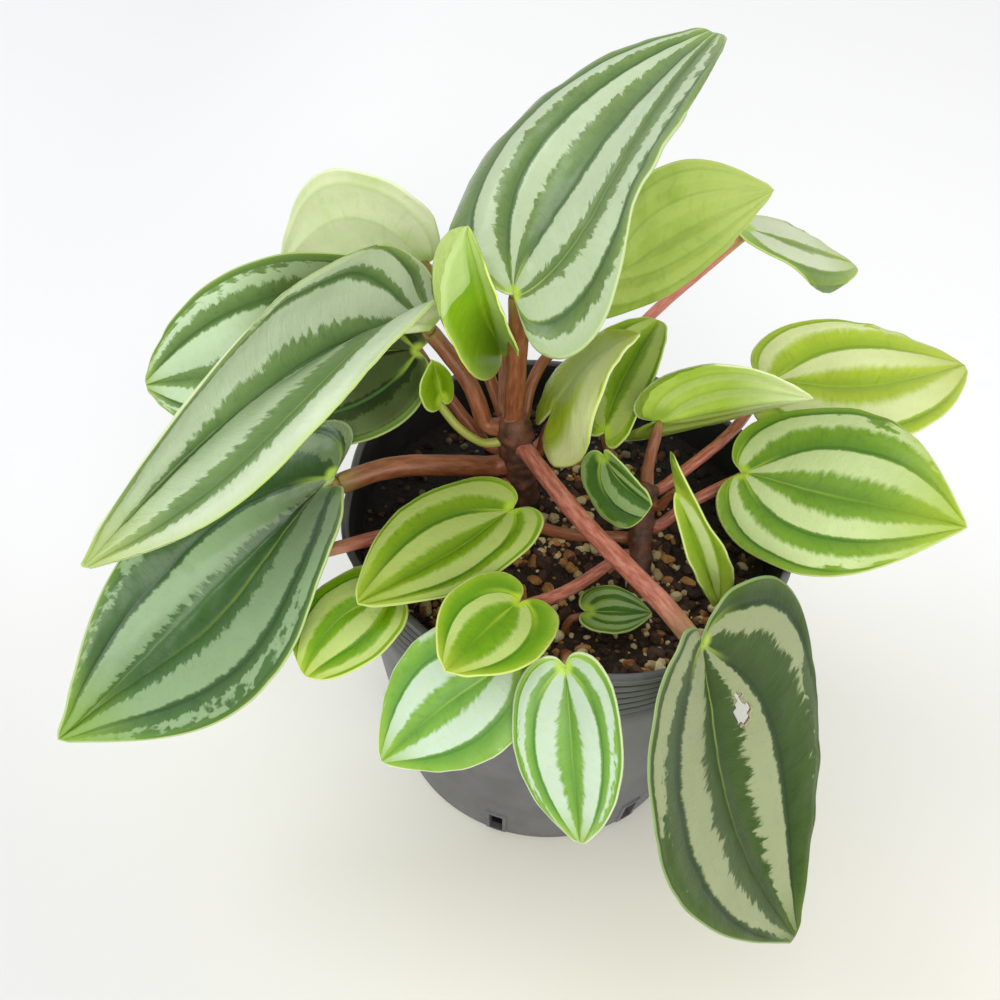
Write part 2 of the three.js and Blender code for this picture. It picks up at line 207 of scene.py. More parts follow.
def blade_rows(leaf):
    """The upper and the under face of a leaf's CAD blade, rows from stalk to tip, columns from left to right."""
    points, triangles = welded(f"leaf_{leaf}")
    stalk, _ = welded(f"stalk_{leaf}")
    near = neighbours(len(points), triangles)
    poles = [i for i, others in enumerate(near) if len(others) == AROUND]
    poles.sort(key=lambda i: np.linalg.norm(stalk - points[i], axis=1).min())
    notch, tip = poles
    steps = steps_from(near, [notch])
    beside, onward = {}, {}
    for a, b, c in triangles:
        for p, q, r in ((a, b, c), (b, c, a), (c, a, b)):
            if steps[p] == steps[q] == steps[r] - 1:
                beside[p], onward[p] = q, r
    ring = [min(near[notch])]
    while len(ring) < AROUND:
        ring.append(beside[ring[-1]])
    rings = [ring]
    while onward[rings[-1][0]] != tip:
        rings.append([onward[i] for i in rings[-1]])
    grid = points[np.array(rings)]

    def faces(turn):
        turned = np.roll(grid, -turn, axis=1)
        return turned[:, : OVER_STRIPS + 1], np.concatenate([turned[:, OVER_STRIPS:], turned[:, :1]], 1)[:, ::-1]

    def apart(turn):
        upper, under = faces(turn)
        places = np.linspace(0, OVER_STRIPS, under.shape[1])
        return np.linalg.norm(spline(upper.swapaxes(0, 1), places).swapaxes(0, 1) - under, axis=2).sum()

    upper, under = faces(min(range(AROUND), key=apart))
    ends = [np.broadcast_to(points[i], (1, 1, 3)) for i in (notch, tip)]

    def closed(face):
        wide = [np.repeat(end, face.shape[1], 1) for end in ends]
        return np.concatenate([wide[0], face, wide[1]])

    return closed(upper), closed(under)


class Blade:
    """The middle surface of a leaf's CAD blade.

    u runs from the stalk (0) to the tip (1), v from the right margin (-1) to the left (+1).
    """

    def __init__(self, leaf):
        upper, under = blade_rows(leaf)
        middle = sum(
            spline(face.swapaxes(0, 1), np.linspace(0, face.shape[1] - 1, MIDDLE_COLUMNS))
            for face in (upper, under)
        )
        self.table = middle / 2  # columns first
        wide = padded(self.table)
        self.full = padded(wide.swapaxes(0, 1))  # rows first
        rib = spline(self.table, np.array([(MIDDLE_COLUMNS - 1) / 2]))[0]
        self.length = np.linalg.norm(np.diff(rib, axis=0), axis=1).sum()
        self.half = {side: self._half(side) for side in (1, -1)}

    def _half(self, side):
        across = self.table[::-1] if side < 0 else self.table
        run = across[: MIDDLE_COLUMNS // 2 + 1]
        return np.linalg.norm(np.diff(run, axis=0), axis=2).sum(0)

    def at(self, u, v):
        """The point at (u, v). Beyond the margin the blade goes straight on."""
        held = np.clip(v, -1, 1)
        spare = v - held
        base = self.within(u, held)
        if not np.any(spare):
            return base
        step = base - self.within(u, held - 0.1 * np.sign(spare))
        return base + step * (np.abs(spare) / 0.1)[..., None]

    def within(self, u, v):
        u, v = np.broadcast_arrays(np.asarray(u, float), np.asarray(v, float))
        shape = u.shape
        rows, row_shares = spline_shares(u.ravel() * LAST_ROW, LAST_ROW + 1)
        columns, column_shares = spline_shares((1 - v.ravel()) / 2 * (MIDDLE_COLUMNS - 1), MIDDLE_COLUMNS)
        total = 0
        for i, row_share in enumerate(row_shares):
            for j, column_share in enumerate(column_shares):
                total = total + (row_share * column_share)[:, None] * self.full[rows + i, columns + j]
        return total.reshape(*shape, 3)

    def half_width(self, u, v):
        """How far it is from the midrib to the margin on the side of v, along a row."""
        places = np.clip(u, 0, 1) * LAST_ROW
        left = np.interp(places, range(LAST_ROW + 1), self.half[1])
        right = np.interp(places, range(LAST_ROW + 1), self.half[-1])
        return np.where(v > 0, left, right)

    def normal(self, u, v):
        e = 0.012
        middle = np.clip(u, 0.03, 0.985)
        along = self.at(middle + e, v) - self.at(middle - e, v)
        across = self.at(middle, np.clip(v + e, -1, 1)) - self.at(middle, np.clip(v - e, -1, 1))
        n = np.cross(along, across)
        return n / np.maximum(np.linalg.norm(n, axis=-1, keepdims=True), 1e-12)


def stalk_line(name):
    """The middle line of a CAD stalk or stem from one end to the other, and its radius."""
    points, triangles = welded(name)
    near = neighbours(len(points), triangles)
    a, b, c = (points[triangles[:, k]] for k in range(3))
    normals = np.cross(b - a, c - a)
    normals /= np.linalg.norm(normals, axis=1, keepdims=True)
    owner = list(range(len(triangles)))

    def top(i):
        while owner[i] != i:
            i = owner[i]
        return i

    edges = {}
    for i, triangle in enumerate(triangles):
        for k in range(3):
            edge = tuple(sorted((triangle[k], triangle[(k + 1) % 3])))
            if edge in edges and normals[i] @ normals[edges[edge]] > 0.9999:
                owner[top(i)] = top(edges[edge])
            edges[edge] = i
    flats = {}
    for i in range(len(triangles)):
        flats.setdefault(top(i), []).append(i)
    for group in flats.values():
        rim = sorted(set(triangles[group].ravel()))
        if len(group) != 6 or len(rim) != 8:
            continue
        reach = np.linalg.norm(points[rim] - points[rim].mean(0), axis=1)
        if reach.max() < 1.1 * reach.min():
            break
    steps = steps_from(near, rim)
    rings = [[i for i in steps if steps[i] == level] for level in range(max(steps.values()) + 1)]
    centres = np.array([points[ring].mean(0) for ring in rings])
    radius = np.linalg.norm(points[rings[0]] - centres[0], axis=1).mean()
    return centres, radius


# ================================================================ finishes
def srgb(red, green, blue):
    """The linear colour, with alpha, of a paint chip given as it looks."""
    linear = (c / 12.92 if c <= 0.04045 else ((c + 0.055) / 1.055) ** 2.4 for c in (red, green, blue))
    return (*linear, 1.0)


class Wiring:
    """Adds nodes to one shader tree, a line each."""

    def __init__(self, tree):
        self.tree = tree

    def node(self, kind, feeds=(), **settings):
        node = self.tree.nodes.new(kind)
        for name, value in settings.items():
            setattr(node, name, value)
        for key, value in dict(feeds).items():
            self.feed(node.inputs[key], value)
        return node

    def feed(self, socket, value):
        if isinstance(value, bpy.types.NodeSocket):
            self.tree.links.new(value, socket)
        else:
            socket.default_value = value

    def sum(self, operation, *values):
        return self.node("ShaderNodeMath", enumerate(values), operation=operation).outputs[0]

    def step(self, value, low, high):
        """0 below low, 1 above high, and soft between."""
        feeds = {"Value": value, "From Min": low, "From Max": high}
        return self.node("ShaderNodeMapRange", feeds, interpolation_type="SMOOTHSTEP").outputs[0]

    def drop(self, value, low, high):
        return self.sum("SUBTRACT", 1.0, self.step(value, low, high))

    def mix(self, share, one, other):
        node = self.node("ShaderNodeMix", data_type="RGBA")
        for key, value in ((0, share), (6, one), (7, other)):
            self.feed(node.inputs[key], value)
        return node.outputs[2]

    def times(self, colour, red, green, blue):
        parts = self.node("ShaderNodeCombineColor", enumerate((red, green, blue))).outputs[0]
        node = self.node("ShaderNodeMix", data_type="RGBA", blend_type="MULTIPLY")
        for key, value in ((0, 1.0), (6, colour), (7, parts)):
            self.feed(node.inputs[key], value)
        return node.outputs[2]

    def shade(self, colour, share):
        """colour made darker or lighter by a number about 1."""
        return self.times(colour, share, share, share)

    def green_shade(self, colour, share):
        """colour made darker by a number below 1, and greener the darker it gets."""
        return self.times(colour, share, self.sum("POWER", share, 0.95), self.sum("POWER", share, 1.3))

    def speckle(self, place, scale, detail=2.0, rough=0.5):
        feeds = {"Vector": place, "Scale": scale, "Detail": detail, "Roughness": rough}
        return self.node("ShaderNodeTexNoise", feeds).outputs["Fac"]

    def vector(self, x=0.0, y=0.0, z=0.0):
        return self.node("ShaderNodeCombineXYZ", enumerate((x, y, z))).outputs[0]

    def parts(self, vector):
        return self.node("ShaderNodeSeparateXYZ", {0: vector}).outputs

    def range(self, value, low, high):
        """A mask of 0 to 1 turned into low to high."""
        return self.node("ShaderNodeMapRange", {"Value": value, "To Min": low, "To Max": high}).outputs[0]

    def own_map(self, label):
        """The numbers that a piece carries for this material, as a vector."""
        return self.node("ShaderNodeUVMap", uv_map=label).outputs[0]


SOCKETS = {"colour": "NodeSocketColor", "value": "NodeSocketFloat", "vector": "NodeSocketVector"}


def effect(name, takes, gives):
    """A new shader node group. takes and gives are {socket name: kind}."""
    tree = bpy.data.node_groups.new(name, "ShaderNodeTree")
    for label, kind in takes.items():
        tree.interface.new_socket(label, in_out="INPUT", socket_type=SOCKETS[kind])
    for label, kind in gives.items():
        tree.interface.new_socket(label, in_out="OUTPUT", socket_type=SOCKETS[kind])
    wiring = Wiring(tree)
    return wiring, wiring.node("NodeGroupInput").outputs, wiring.node("NodeGroupOutput").inputs


def leaf_numbers(w, given):
    """The numbers that both faces of a blade are coloured by.

    Veins holds (vein number, u), Blade (share of the half width, centimetres from the notch) and Rim (millimetres
    from the margin, leaf number). across runs from 0 on one vein to 1 on the next, slant follows the feathering,
    which leans towards the tip, and seed makes each leaf's noises its own.
    """
    n = SimpleNamespace()
    n.vein, n.u = w.parts(given["Veins"])[:2]
    n.v, n.far = w.parts(given["Blade"])[:2]
    n.inset, leaf = w.parts(given["Rim"])[:2]
    n.away = w.sum("ABSOLUTE", n.vein)
    n.across = w.sum("FRACT", n.away)
    n.nearest = w.sum("MINIMUM", n.across, w.sum("SUBTRACT", 1.0, n.across))
    n.slant = w.sum("SUBTRACT", n.far, w.sum("MULTIPLY", n.away, 0.45))
    n.seed = w.sum("MULTIPLY", leaf, 7.31)
    return n


def feathering(w, n, over_veins, along, scale, detail, rough):
    """A noise stretched between the veins, so that it runs out from the midrib."""
    where = w.vector(w.sum("MULTIPLY", n.vein, over_veins), w.sum("MULTIPLY", n.slant, along), n.seed)
    return w.speckle(where, scale, detail, rough)


def silver_mask(w, given, n, feather):
    """Where the silver lies: it starts raggedly between two veins, and falls into islands near margin and tip."""
    jag = w.sum("MULTIPLY", w.sum("SUBTRACT", feather, 0.5), given["Jag"])
    past_start = w.sum("SUBTRACT", w.sum("ADD", n.across, jag), given["Start"])
    on = w.step(past_start, w.sum("MULTIPLY", given["Soft"], -1.0), given["Soft"])
    off = w.drop(w.sum("ADD", n.across, w.sum("MULTIPLY", jag, 0.25)), 0.90, 0.95)
    island = feathering(w, n, 2.0, 3.2, 1.3, 2.0, 0.6)
    by_margin = w.sum("MULTIPLY", w.step(w.sum("ABSOLUTE", n.v), 0.62, 0.94), w.step(n.u, 0.25, 0.45))
    by_tip = w.sum("MULTIPLY", w.step(n.u, 0.80, 1.0), 0.8)
    need = w.sum("MULTIPLY", w.sum("MULTIPLY", w.sum("MAXIMUM", by_margin, by_tip), given["Broken"]), 0.66)
    whole = w.step(w.sum("SUBTRACT", island, need), -0.06, 0.06)
    return w.sum("MULTIPLY", w.sum("MULTIPLY", on, off), whole)


def stripe_effect():
    """The watermelon stripes of the upper face."""
    takes = {label: "vector" for label in ("Veins", "Blade", "Rim", "Place")}
    takes |= {label: "colour" for label in ("Band", "Silver", "Line", "Edge", "Heart", "Tip")}
    takes |= {label: "value" for label in ("Jag", "Broken", "Start", "Soft", "Tip_From", "Base", "Base_Shade_To")}
    w, given, out = effect("leaf_stripes", takes, {"Colour": "colour", "Silver": "value", "Relief": "value"})
    n = leaf_numbers(w, given)
    feather = feathering(w, n, 0.9, 2.6, 3.0, 5.0, 0.68)
    silver = silver_mask(w, given, n, feather)
    # the green bands: clouded, darker beside the veins and along fine hairs
    cloud = w.speckle(given["Place"], 90.0, 3.0, 0.6)
    grain = w.speckle(given["Place"], 1500.0, 2.0, 0.6)
    band = w.shade(given["Band"], w.sum("ADD", w.range(cloud, 0.74, 1.28), w.range(grain, -0.06, 0.06)))
    by_vein = w.sum("MAXIMUM", w.drop(n.across, 0.0, 0.34), w.step(n.across, 0.88, 0.96))
    band = w.mix(w.sum("MULTIPLY", by_vein, 0.55), band, given["Line"])
    hair = feathering(w, n, 1.6, 3.4, 2.4, 3.0, 0.6)
    band = w.mix(w.sum("MULTIPLY", w.step(hair, 0.50, 0.72), 0.34), band, given["Line"])
    # the silver, flecked with green
    dust = w.speckle(given["Place"], 700.0, 3.0, 0.7)
    pale = w.mix(w.sum("MULTIPLY", w.step(dust, 0.50, 0.80), 0.14), given["Silver"], given["Band"])
    colour = w.mix(silver, band, w.shade(pale, w.range(cloud, 0.90, 1.12)))
    # painted shade at the base: darker and greener towards the stalk, where the leaves above shade it; slight on most
    # leaves, strong on half_shaded_leaf and deep_leaf
    base_shade_from = w.sum("SUBTRACT", given["Base_Shade_To"], 0.35)
    colour = w.green_shade(colour, w.range(w.step(n.u, base_shade_from, given["Base_Shade_To"]), given["Base"], 1.04))
    # the side veins, the midrib, the pale spokes round the notch, and the notch itself
    side_vein = w.sum("MULTIPLY", w.drop(n.nearest, 0.015, 0.05), w.step(n.away, 0.4, 0.6))
    colour = w.mix(w.sum("MULTIPLY", side_vein, 0.75), colour, given["Line"])
    midrib = w.sum("MULTIPLY", w.drop(n.away, 0.01, 0.05), w.drop(n.u, 0.10, 0.8))
    colour = w.mix(w.sum("MULTIPLY", midrib, 0.45), colour, given["Heart"])
    spokes = w.sum("MULTIPLY", w.drop(n.nearest, 0.03, 0.12), w.drop(n.far, 0.15, 1.0))
    colour = w.mix(w.sum("MULTIPLY", spokes, 0.6), colour, given["Heart"])
    colour = w.mix(w.drop(n.far, 0.10, 0.24), colour, given["Heart"])
    # the tip, the margin and its bead
    colour = w.mix(w.sum("MULTIPLY", w.step(n.u, given["Tip_From"], 1.0), 0.8), colour, given["Tip"])
    colour = w.mix(w.sum("MULTIPLY", w.drop(n.inset, 0.3, 2.2), 0.30), colour, given["Tip"])
    w.feed(out["Colour"], w.mix(w.drop(n.inset, 0.14, 0.44), colour, given["Edge"]))
    w.feed(out["Silver"], silver)
    pucker = w.sum("MULTIPLY", w.sum("SUBTRACT", feather, 0.5), 1.2)
    relief = w.sum("ADD", pucker, w.sum("MULTIPLY", grain, 0.25))
    w.feed(out["Relief"], w.sum("SUBTRACT", relief, w.sum("MULTIPLY", w.drop(n.nearest, 0.0, 0.06), 0.5)))
    return w.tree


def underside_effect():
    """The pale back of a blade: faint veins and stripes, a soft mottle and a light rim."""
    takes = {label: "vector" for label in ("Veins", "Blade", "Rim", "Place")}
    takes |= {label: "colour" for label in ("Flesh", "Shade", "Vein", "Edge")}
    w, given, out = effect("leaf_back", takes, {"Colour": "colour", "Relief": "value"})
    n = leaf_numbers(w, given)
    cloud = w.speckle(given["Place"], 70.0, 3.0, 0.55)
    grain = w.speckle(given["Place"], 1300.0, 2.0, 0.6)
    net = feathering(w, n, 0.8, 3.4, 2.2, 3.0, 0.55)
    colour = w.mix(w.step(cloud, 0.38, 0.66), given["Flesh"], given["Shade"])
    stripe = w.sum("MULTIPLY", w.step(n.across, 0.40, 0.55), w.drop(n.across, 0.88, 0.97))
    colour = w.mix(w.sum("MULTIPLY", stripe, 0.20), colour, given["Edge"])
    colour = w.mix(w.sum("MULTIPLY", w.step(net, 0.54, 0.68), 0.22), colour, given["Vein"])
    colour = w.mix(w.sum("MULTIPLY", w.drop(n.nearest, 0.02, 0.08), 0.30), colour, given["Vein"])
    colour = w.mix(w.drop(n.far, 0.15, 0.5), colour, given["Vein"])
    colour = w.mix(w.sum("MULTIPLY", w.step(n.u, 0.42, 0.92), 0.7), colour, given["Edge"])
    colour = w.mix(w.drop(n.inset, 0.15, 0.5), colour, given["Edge"])
    w.feed(out["Colour"], w.shade(colour, w.range(grain, 0.95, 1.05)))
    w.feed(out["Relief"], w.sum("ADD", w.sum("MULTIPLY", net, 0.7), w.sum("MULTIPLY", grain, 0.3)))
    return w.tree


def grain_effect():
    """Fine wear for plastic, bark and grit: a soft tone, a speckle and a relief from the same noises."""
    takes = {"Place": "vector", "Broad": "value", "Fine": "value", "One": "colour", "Other": "colour"}
    w, given, out = effect("broken_tone", takes, {"Colour": "colour", "Fine": "value", "Relief": "value"})
    broad = w.speckle(given["Place"], given["Broad"], 4.0, 0.6)
    fine = w.speckle(given["Place"], given["Fine"], 3.0, 0.65)
    colour = w.mix(w.step(broad, 0.36, 0.66), given["One"], given["Other"])
    w.feed(out["Colour"], w.shade(colour, w.range(fine, 0.78, 1.22)))
    w.feed(out["Fine"], fine)
    w.feed(out["Relief"], w.sum("ADD", w.sum("MULTIPLY", broad, 0.6), w.sum("MULTIPLY", fine, 0.4)))
    return w.tree


STRIPES = stripe_effect()
BACK = underside_effect()
BROKEN_TONE = grain_effect()


def new_finish(name):
    material = bpy.data.materials.new(name)
    material.use_nodes = True
    return material, Wiring(material.node_tree), material.node_tree.nodes["Principled BSDF"].inputs


def place(w):
    return w.node("ShaderNodeTexCoord").outputs["Object"]


def use(w, tree, **feeds):
    node = w.node("ShaderNodeGroup", node_tree=tree)
    for key, value in feeds.items():
        w.feed(node.inputs[key], value)
    return node.outputs


def bump(w, height, strength, depth):
    return w.node("ShaderNodeBump", {"Height": height, "Strength": strength, "Distance": depth}).outputs[0]


def leaf_maps(w):
    return {label: w.own_map(label.lower()) for label in ("Veins", "Blade", "Rim")}


def upper_finish(
    name, jag, broken, start, soft, coat, rough, tip_from, base=0.92, base_shade_to=0.55, shine=0.28, roll=None, **colours
):
    """The upper face of a leaf.

    jag is how ragged the silver's edge is, and broken how far the silver falls apart towards the margin. start and
    soft say where between two veins it begins, and how softly. The tip's colour begins at u = tip_from. base is how
    dark the blade is painted at the stalk, as painted shade, and the argument after it the u where that painted
    shade ends. roll is the colour of a margin rolled over.
    """
    material, w, shader = new_finish(name)
    amounts = {"Jag": jag, "Broken": broken, "Start": start, "Soft": soft, "Tip_From": tip_from}
    amounts |= {"Base": base, "Base_Shade_To": base_shade_to}
    stripes = use(w, STRIPES, Place=place(w), **leaf_maps(w), **amounts, **colours)
    colour = stripes["Colour"]
    if roll is not None:
        past_fold = w.parts(w.own_map("rolled"))[0]
        colour = w.mix(w.step(past_fold, 0.0, 0.03), colour, roll)
    w.feed(shader["Base Color"], colour)
    w.feed(shader["Roughness"], w.range(stripes["Silver"], rough, rough + 0.12))
    w.feed(shader["Normal"], bump(w, stripes["Relief"], 0.55, 0.00035))
    shader["Specular IOR Level"].default_value = shine
    shader["Coat Weight"].default_value = coat
    shader["Coat Roughness"].default_value = 0.24
    return material


def under_finish(name, **colours):
    """The back of a leaf."""
    material, w, shader = new_finish(name)
    back = use(w, BACK, **leaf_maps(w), Place=place(w), **colours)
    w.feed(shader["Base Color"], back["Colour"])
    w.feed(shader["Roughness"], w.range(back["Relief"], 0.44, 0.56))
    w.feed(shader["Normal"], bump(w, back["Relief"], 0.5, 0.00025))
    return material


def grain_finish(name, one, other, broad, fine, rough, depth):
    """Two tones in grains a metre, broad and fine, and how deep they are in metres."""
    material, w, shader = new_finish(name)
    tone = use(w, BROKEN_TONE, Place=place(w), Broad=broad, Fine=fine, One=one, Other=other)
    w.feed(shader["Base Color"], tone["Colour"])
    w.feed(shader["Roughness"], w.range(tone["Fine"], rough - 0.1, rough + 0.1))
    w.feed(shader["Normal"], bump(w, tone["Relief"], 0.6, depth))
    return material


def stalk_finish(name, flesh, blush, green):
    """A fleshy stalk: streaked along its length, greener at the blade."""
    material, w, shader = new_finish(name)
    run = w.parts(w.own_map("run"))
    streak_place = w.vector(w.sum("MULTIPLY", run[0], 9.0), w.sum("MULTIPLY", run[1], 1.4), 0.0)
    streak = w.speckle(streak_place, 1.5, 4.0, 0.6)
    fine = w.speckle(place(w), 1600.0, 2.0, 0.6)
    colour = w.mix(w.step(streak, 0.34, 0.68), flesh, blush)
    near_blade = w.step(w.parts(w.own_map("share"))[0], 0.80, 1.0)
    colour = w.mix(w.sum("MULTIPLY", near_blade, 0.55), colour, green)
    w.feed(shader["Base Color"], w.shade(colour, w.range(fine, 0.86, 1.14)))
    w.feed(shader["Roughness"], w.range(fine, 0.34, 0.5))
    relief = w.sum("ADD", w.sum("MULTIPLY", streak, 0.7), w.sum("MULTIPLY", fine, 0.3))
    w.feed(shader["Normal"], bump(w, relief, 0.5, 0.0002))
    return material


def crumb_finish(name, dark, light):
    """Grit: every crumb has its own tone between dark and light, and is darker in the soil's painted shade."""
    material, w, shader = new_finish(name)
    lump, wall_shade = w.parts(w.own_map("lump"))[:2]
    tone = use(w, BROKEN_TONE, Place=place(w), Broad=500.0, Fine=2600.0, One=dark, Other=light)
    colour = w.mix(0.6, tone["Colour"], w.mix(lump, dark, light))
    # painted shade: crumbs darker where the soil is shaded by the wall
    w.feed(shader["Base Color"], w.shade(colour, w.range(wall_shade, 1.0, 0.22)))
    w.feed(shader["Roughness"], w.range(tone["Fine"], 0.75, 0.93))
    w.feed(shader["Normal"], bump(w, tone["Relief"], 0.8, 0.0003))
    return material


def pot_finish():
    """Grey moulded plastic: painted sheens down the wall, scuffs, the rib band painted lighter and painted shade in
    the grooves of the ribs.
    """
    material, w, shader = new_finish("pot_plastic")
    across, ahead, height = w.parts(place(w))
    # painted sheen: soft lighter streaks down the wall, painted into the colour
    painted_sheen = w.speckle(w.vector(across, ahead, w.sum("MULTIPLY", height, 0.12)), 70.0, 3.0, 0.5)
    plain, scuffed, sheen_grey = srgb(0.33, 0.33, 0.34), srgb(0.39, 0.39, 0.40), srgb(0.47, 0.47, 0.48)
    wear = use(w, BROKEN_TONE, Place=place(w), Broad=90.0, Fine=2400.0, One=plain, Other=scuffed)
    colour = w.mix(w.sum("MULTIPLY", w.step(painted_sheen, 0.46, 0.68), 0.5), wear["Colour"], sheen_grey)
    # painted light and shade on the ribs: the rib band painted lighter, and its grooves painted near-black as shade
    phase = w.sum("MULTIPLY", w.sum("SUBTRACT", height, LOWEST_RIB * MM), 2 * math.pi / (RIB_PITCH * MM))
    groove = w.step(w.sum("COSINE", phase), 0.1, 0.8)
    below = w.drop(height, RIBS_END * MM, (RIBS_END + 0.25) * MM)
    ribbed = w.sum("MULTIPLY", w.step(height, (LOWEST_RIB - 0.4) * MM, LOWEST_RIB * MM), below)
    colour = w.shade(colour, w.range(ribbed, 1.0, 1.4))
    w.feed(shader["Base Color"], w.shade(colour, w.range(w.sum("MULTIPLY", groove, ribbed), 1.0, 0.14)))
    w.feed(shader["Roughness"], w.range(wear["Fine"], 0.36, 0.52))
    w.feed(shader["Normal"], bump(w, wear["Relief"], 0.6, 0.00008))
    return material


def soil_finish():
    """Black potting mix, with painted shade along the back and the right wall."""
    material, w, shader = new_finish("soil_and_shade")
    dark, light = srgb(0.15, 0.10, 0.07), srgb(0.26, 0.18, 0.12)
    tone = use(w, BROKEN_TONE, Place=place(w), Broad=700.0, Fine=2600.0, One=dark, Other=light)
    wall_shade = w.parts(w.own_map("wall_shade"))[0]
    # painted shade: the soil darkened along the back and the right wall, where the pot's wall shades it
    w.feed(shader["Base Color"], w.shade(tone["Colour"], w.range(wall_shade, 1.0, 0.25)))
    w.feed(shader["Roughness"], w.range(tone["Fine"], 0.75, 0.95))
    w.feed(shader["Normal"], bump(w, tone["Relief"], 0.9, 0.0012))
    return material


# The upper faces of the leaves.
MATURE = upper_finish(
    "mature_leaf", jag=0.6, broken=1.0, start=0.42, soft=0.04, coat=0.6, rough=0.32, tip_from=0.80,
    Band=srgb(0.42, 0.53, 0.26), Silver=srgb(0.72, 0.79, 0.64), Line=srgb(0.23, 0.37, 0.16),
    Edge=srgb(0.76, 0.84, 0.58), Heart=srgb(0.72, 0.82, 0.30), Tip=srgb(0.60, 0.72, 0.34),
)
PALE_MATURE = upper_finish(
    "pale_mature_leaf", jag=0.6, broken=0.3, start=0.36, soft=0.05, coat=0.5, rough=0.34, tip_from=0.72,
    Band=srgb(0.48, 0.59, 0.36), Silver=srgb(0.78, 0.84, 0.71), Line=srgb(0.28, 0.42, 0.20),
    Edge=srgb(0.74, 0.84, 0.46), Heart=srgb(0.72, 0.82, 0.30), Tip=srgb(0.72, 0.80, 0.44),
)
HALF_SHADED = upper_finish(
    "half_shaded_leaf", jag=0.6, broken=0.8, start=0.36, soft=0.05, coat=0.0, rough=0.40, tip_from=0.80,
    # painted shadow: this leaf's base is darkened for the shadow of the leaf in front of it
    base=0.10, base_shade_to=0.62, shine=0.10,
    Band=srgb(0.47, 0.59, 0.34), Silver=srgb(0.76, 0.85, 0.69), Line=srgb(0.29, 0.42, 0.20),
    Edge=srgb(0.72, 0.82, 0.48), Heart=srgb(0.72, 0.82, 0.30), Tip=srgb(0.62, 0.74, 0.34),
)
DEEP = upper_finish(
    "deep_leaf", jag=0.6, broken=0.8, start=0.42, soft=0.04, coat=0.5, rough=0.34, tip_from=0.70,
    # painted shadow: this leaf's base is darkened for the shadow of the leaf above it
    base=0.44, base_shade_to=0.45,
    Band=srgb(0.26, 0.41, 0.18), Silver=srgb(0.53, 0.64, 0.46), Line=srgb(0.13, 0.28, 0.08),
    Edge=srgb(0.72, 0.81, 0.52), Heart=srgb(0.66, 0.78, 0.28), Tip=srgb(0.52, 0.68, 0.18),
)
FROSTED = upper_finish(
    "frosted_leaf", jag=0.45, broken=0.7, start=0.40, soft=0.05, coat=0.3, rough=0.34, tip_from=0.40,
    Band=srgb(0.54, 0.63, 0.29), Silver=srgb(0.81, 0.85, 0.71), Line=srgb(0.38, 0.52, 0.20),
    Edge=srgb(0.76, 0.85, 0.46), Heart=srgb(0.66, 0.80, 0.34), Tip=srgb(0.64, 0.76, 0.16),
)
DUSKY = upper_finish(
    "dusky_leaf", jag=0.65, broken=1.1, start=0.48, soft=0.05, coat=0.2, rough=0.38, tip_from=0.80, shine=0.13,
    Band=srgb(0.23, 0.33, 0.09), Silver=srgb(0.60, 0.64, 0.47), Line=srgb(0.12, 0.22, 0.06),
    Edge=srgb(0.54, 0.64, 0.40), Heart=srgb(0.66, 0.76, 0.30), Tip=srgb(0.36, 0.46, 0.16),
)
YOUNG = upper_finish(
    "young_leaf", jag=0.32, broken=0.5, start=0.42, soft=0.10, coat=0.15, rough=0.38, tip_from=0.62, shine=0.13,
    Band=srgb(0.44, 0.62, 0.03), Silver=srgb(0.71, 0.79, 0.44), Line=srgb(0.30, 0.50, 0.02),
    Edge=srgb(0.84, 0.89, 0.50), Heart=srgb(0.68, 0.79, 0.20), Tip=srgb(0.70, 0.78, 0.24),
)
PALE_YOUNG = upper_finish(
    "pale_young_leaf", jag=0.28, broken=0.65, start=0.44, soft=0.12, coat=0.15, rough=0.38, tip_from=0.45,
    Band=srgb(0.66, 0.76, 0.17), Silver=srgb(0.86, 0.90, 0.64), Line=srgb(0.48, 0.62, 0.10),
    Edge=srgb(0.82, 0.88, 0.48), Heart=srgb(0.70, 0.80, 0.24), Tip=srgb(0.74, 0.80, 0.30),
)
HALF_GROWN = upper_finish(
    "half_grown_leaf", jag=0.38, broken=0.75, start=0.44, soft=0.09, coat=0.2, rough=0.36, tip_from=0.50,
    Band=srgb(0.44, 0.60, 0.10), Silver=srgb(0.77, 0.84, 0.58), Line=srgb(0.25, 0.44, 0.05),
    Edge=srgb(0.80, 0.87, 0.52), Heart=srgb(0.66, 0.78, 0.22), Tip=srgb(0.66, 0.76, 0.20),
)
OLIVE = upper_finish(
    "olive_leaf", jag=0.34, broken=0.5, start=0.46, soft=0.10, coat=0.15, rough=0.38, tip_from=0.60, shine=0.13,
    Band=srgb(0.44, 0.57, 0.04), Silver=srgb(0.64, 0.71, 0.37), Line=srgb(0.26, 0.42, 0.03),
    Edge=srgb(0.76, 0.83, 0.46), Heart=srgb(0.64, 0.76, 0.20), Tip=srgb(0.60, 0.70, 0.18),
)
SHADED = upper_finish(
    "shaded_leaf", jag=0.4, broken=0.6, start=0.44, soft=0.07, coat=0.3, rough=0.36, tip_from=0.80, shine=0.13,
    Band=srgb(0.24, 0.38, 0.09), Silver=srgb(0.50, 0.60, 0.36), Line=srgb(0.16, 0.29, 0.06),
    Edge=srgb(0.72, 0.80, 0.46), Heart=srgb(0.60, 0.72, 0.24), Tip=srgb(0.42, 0.55, 0.16),
)
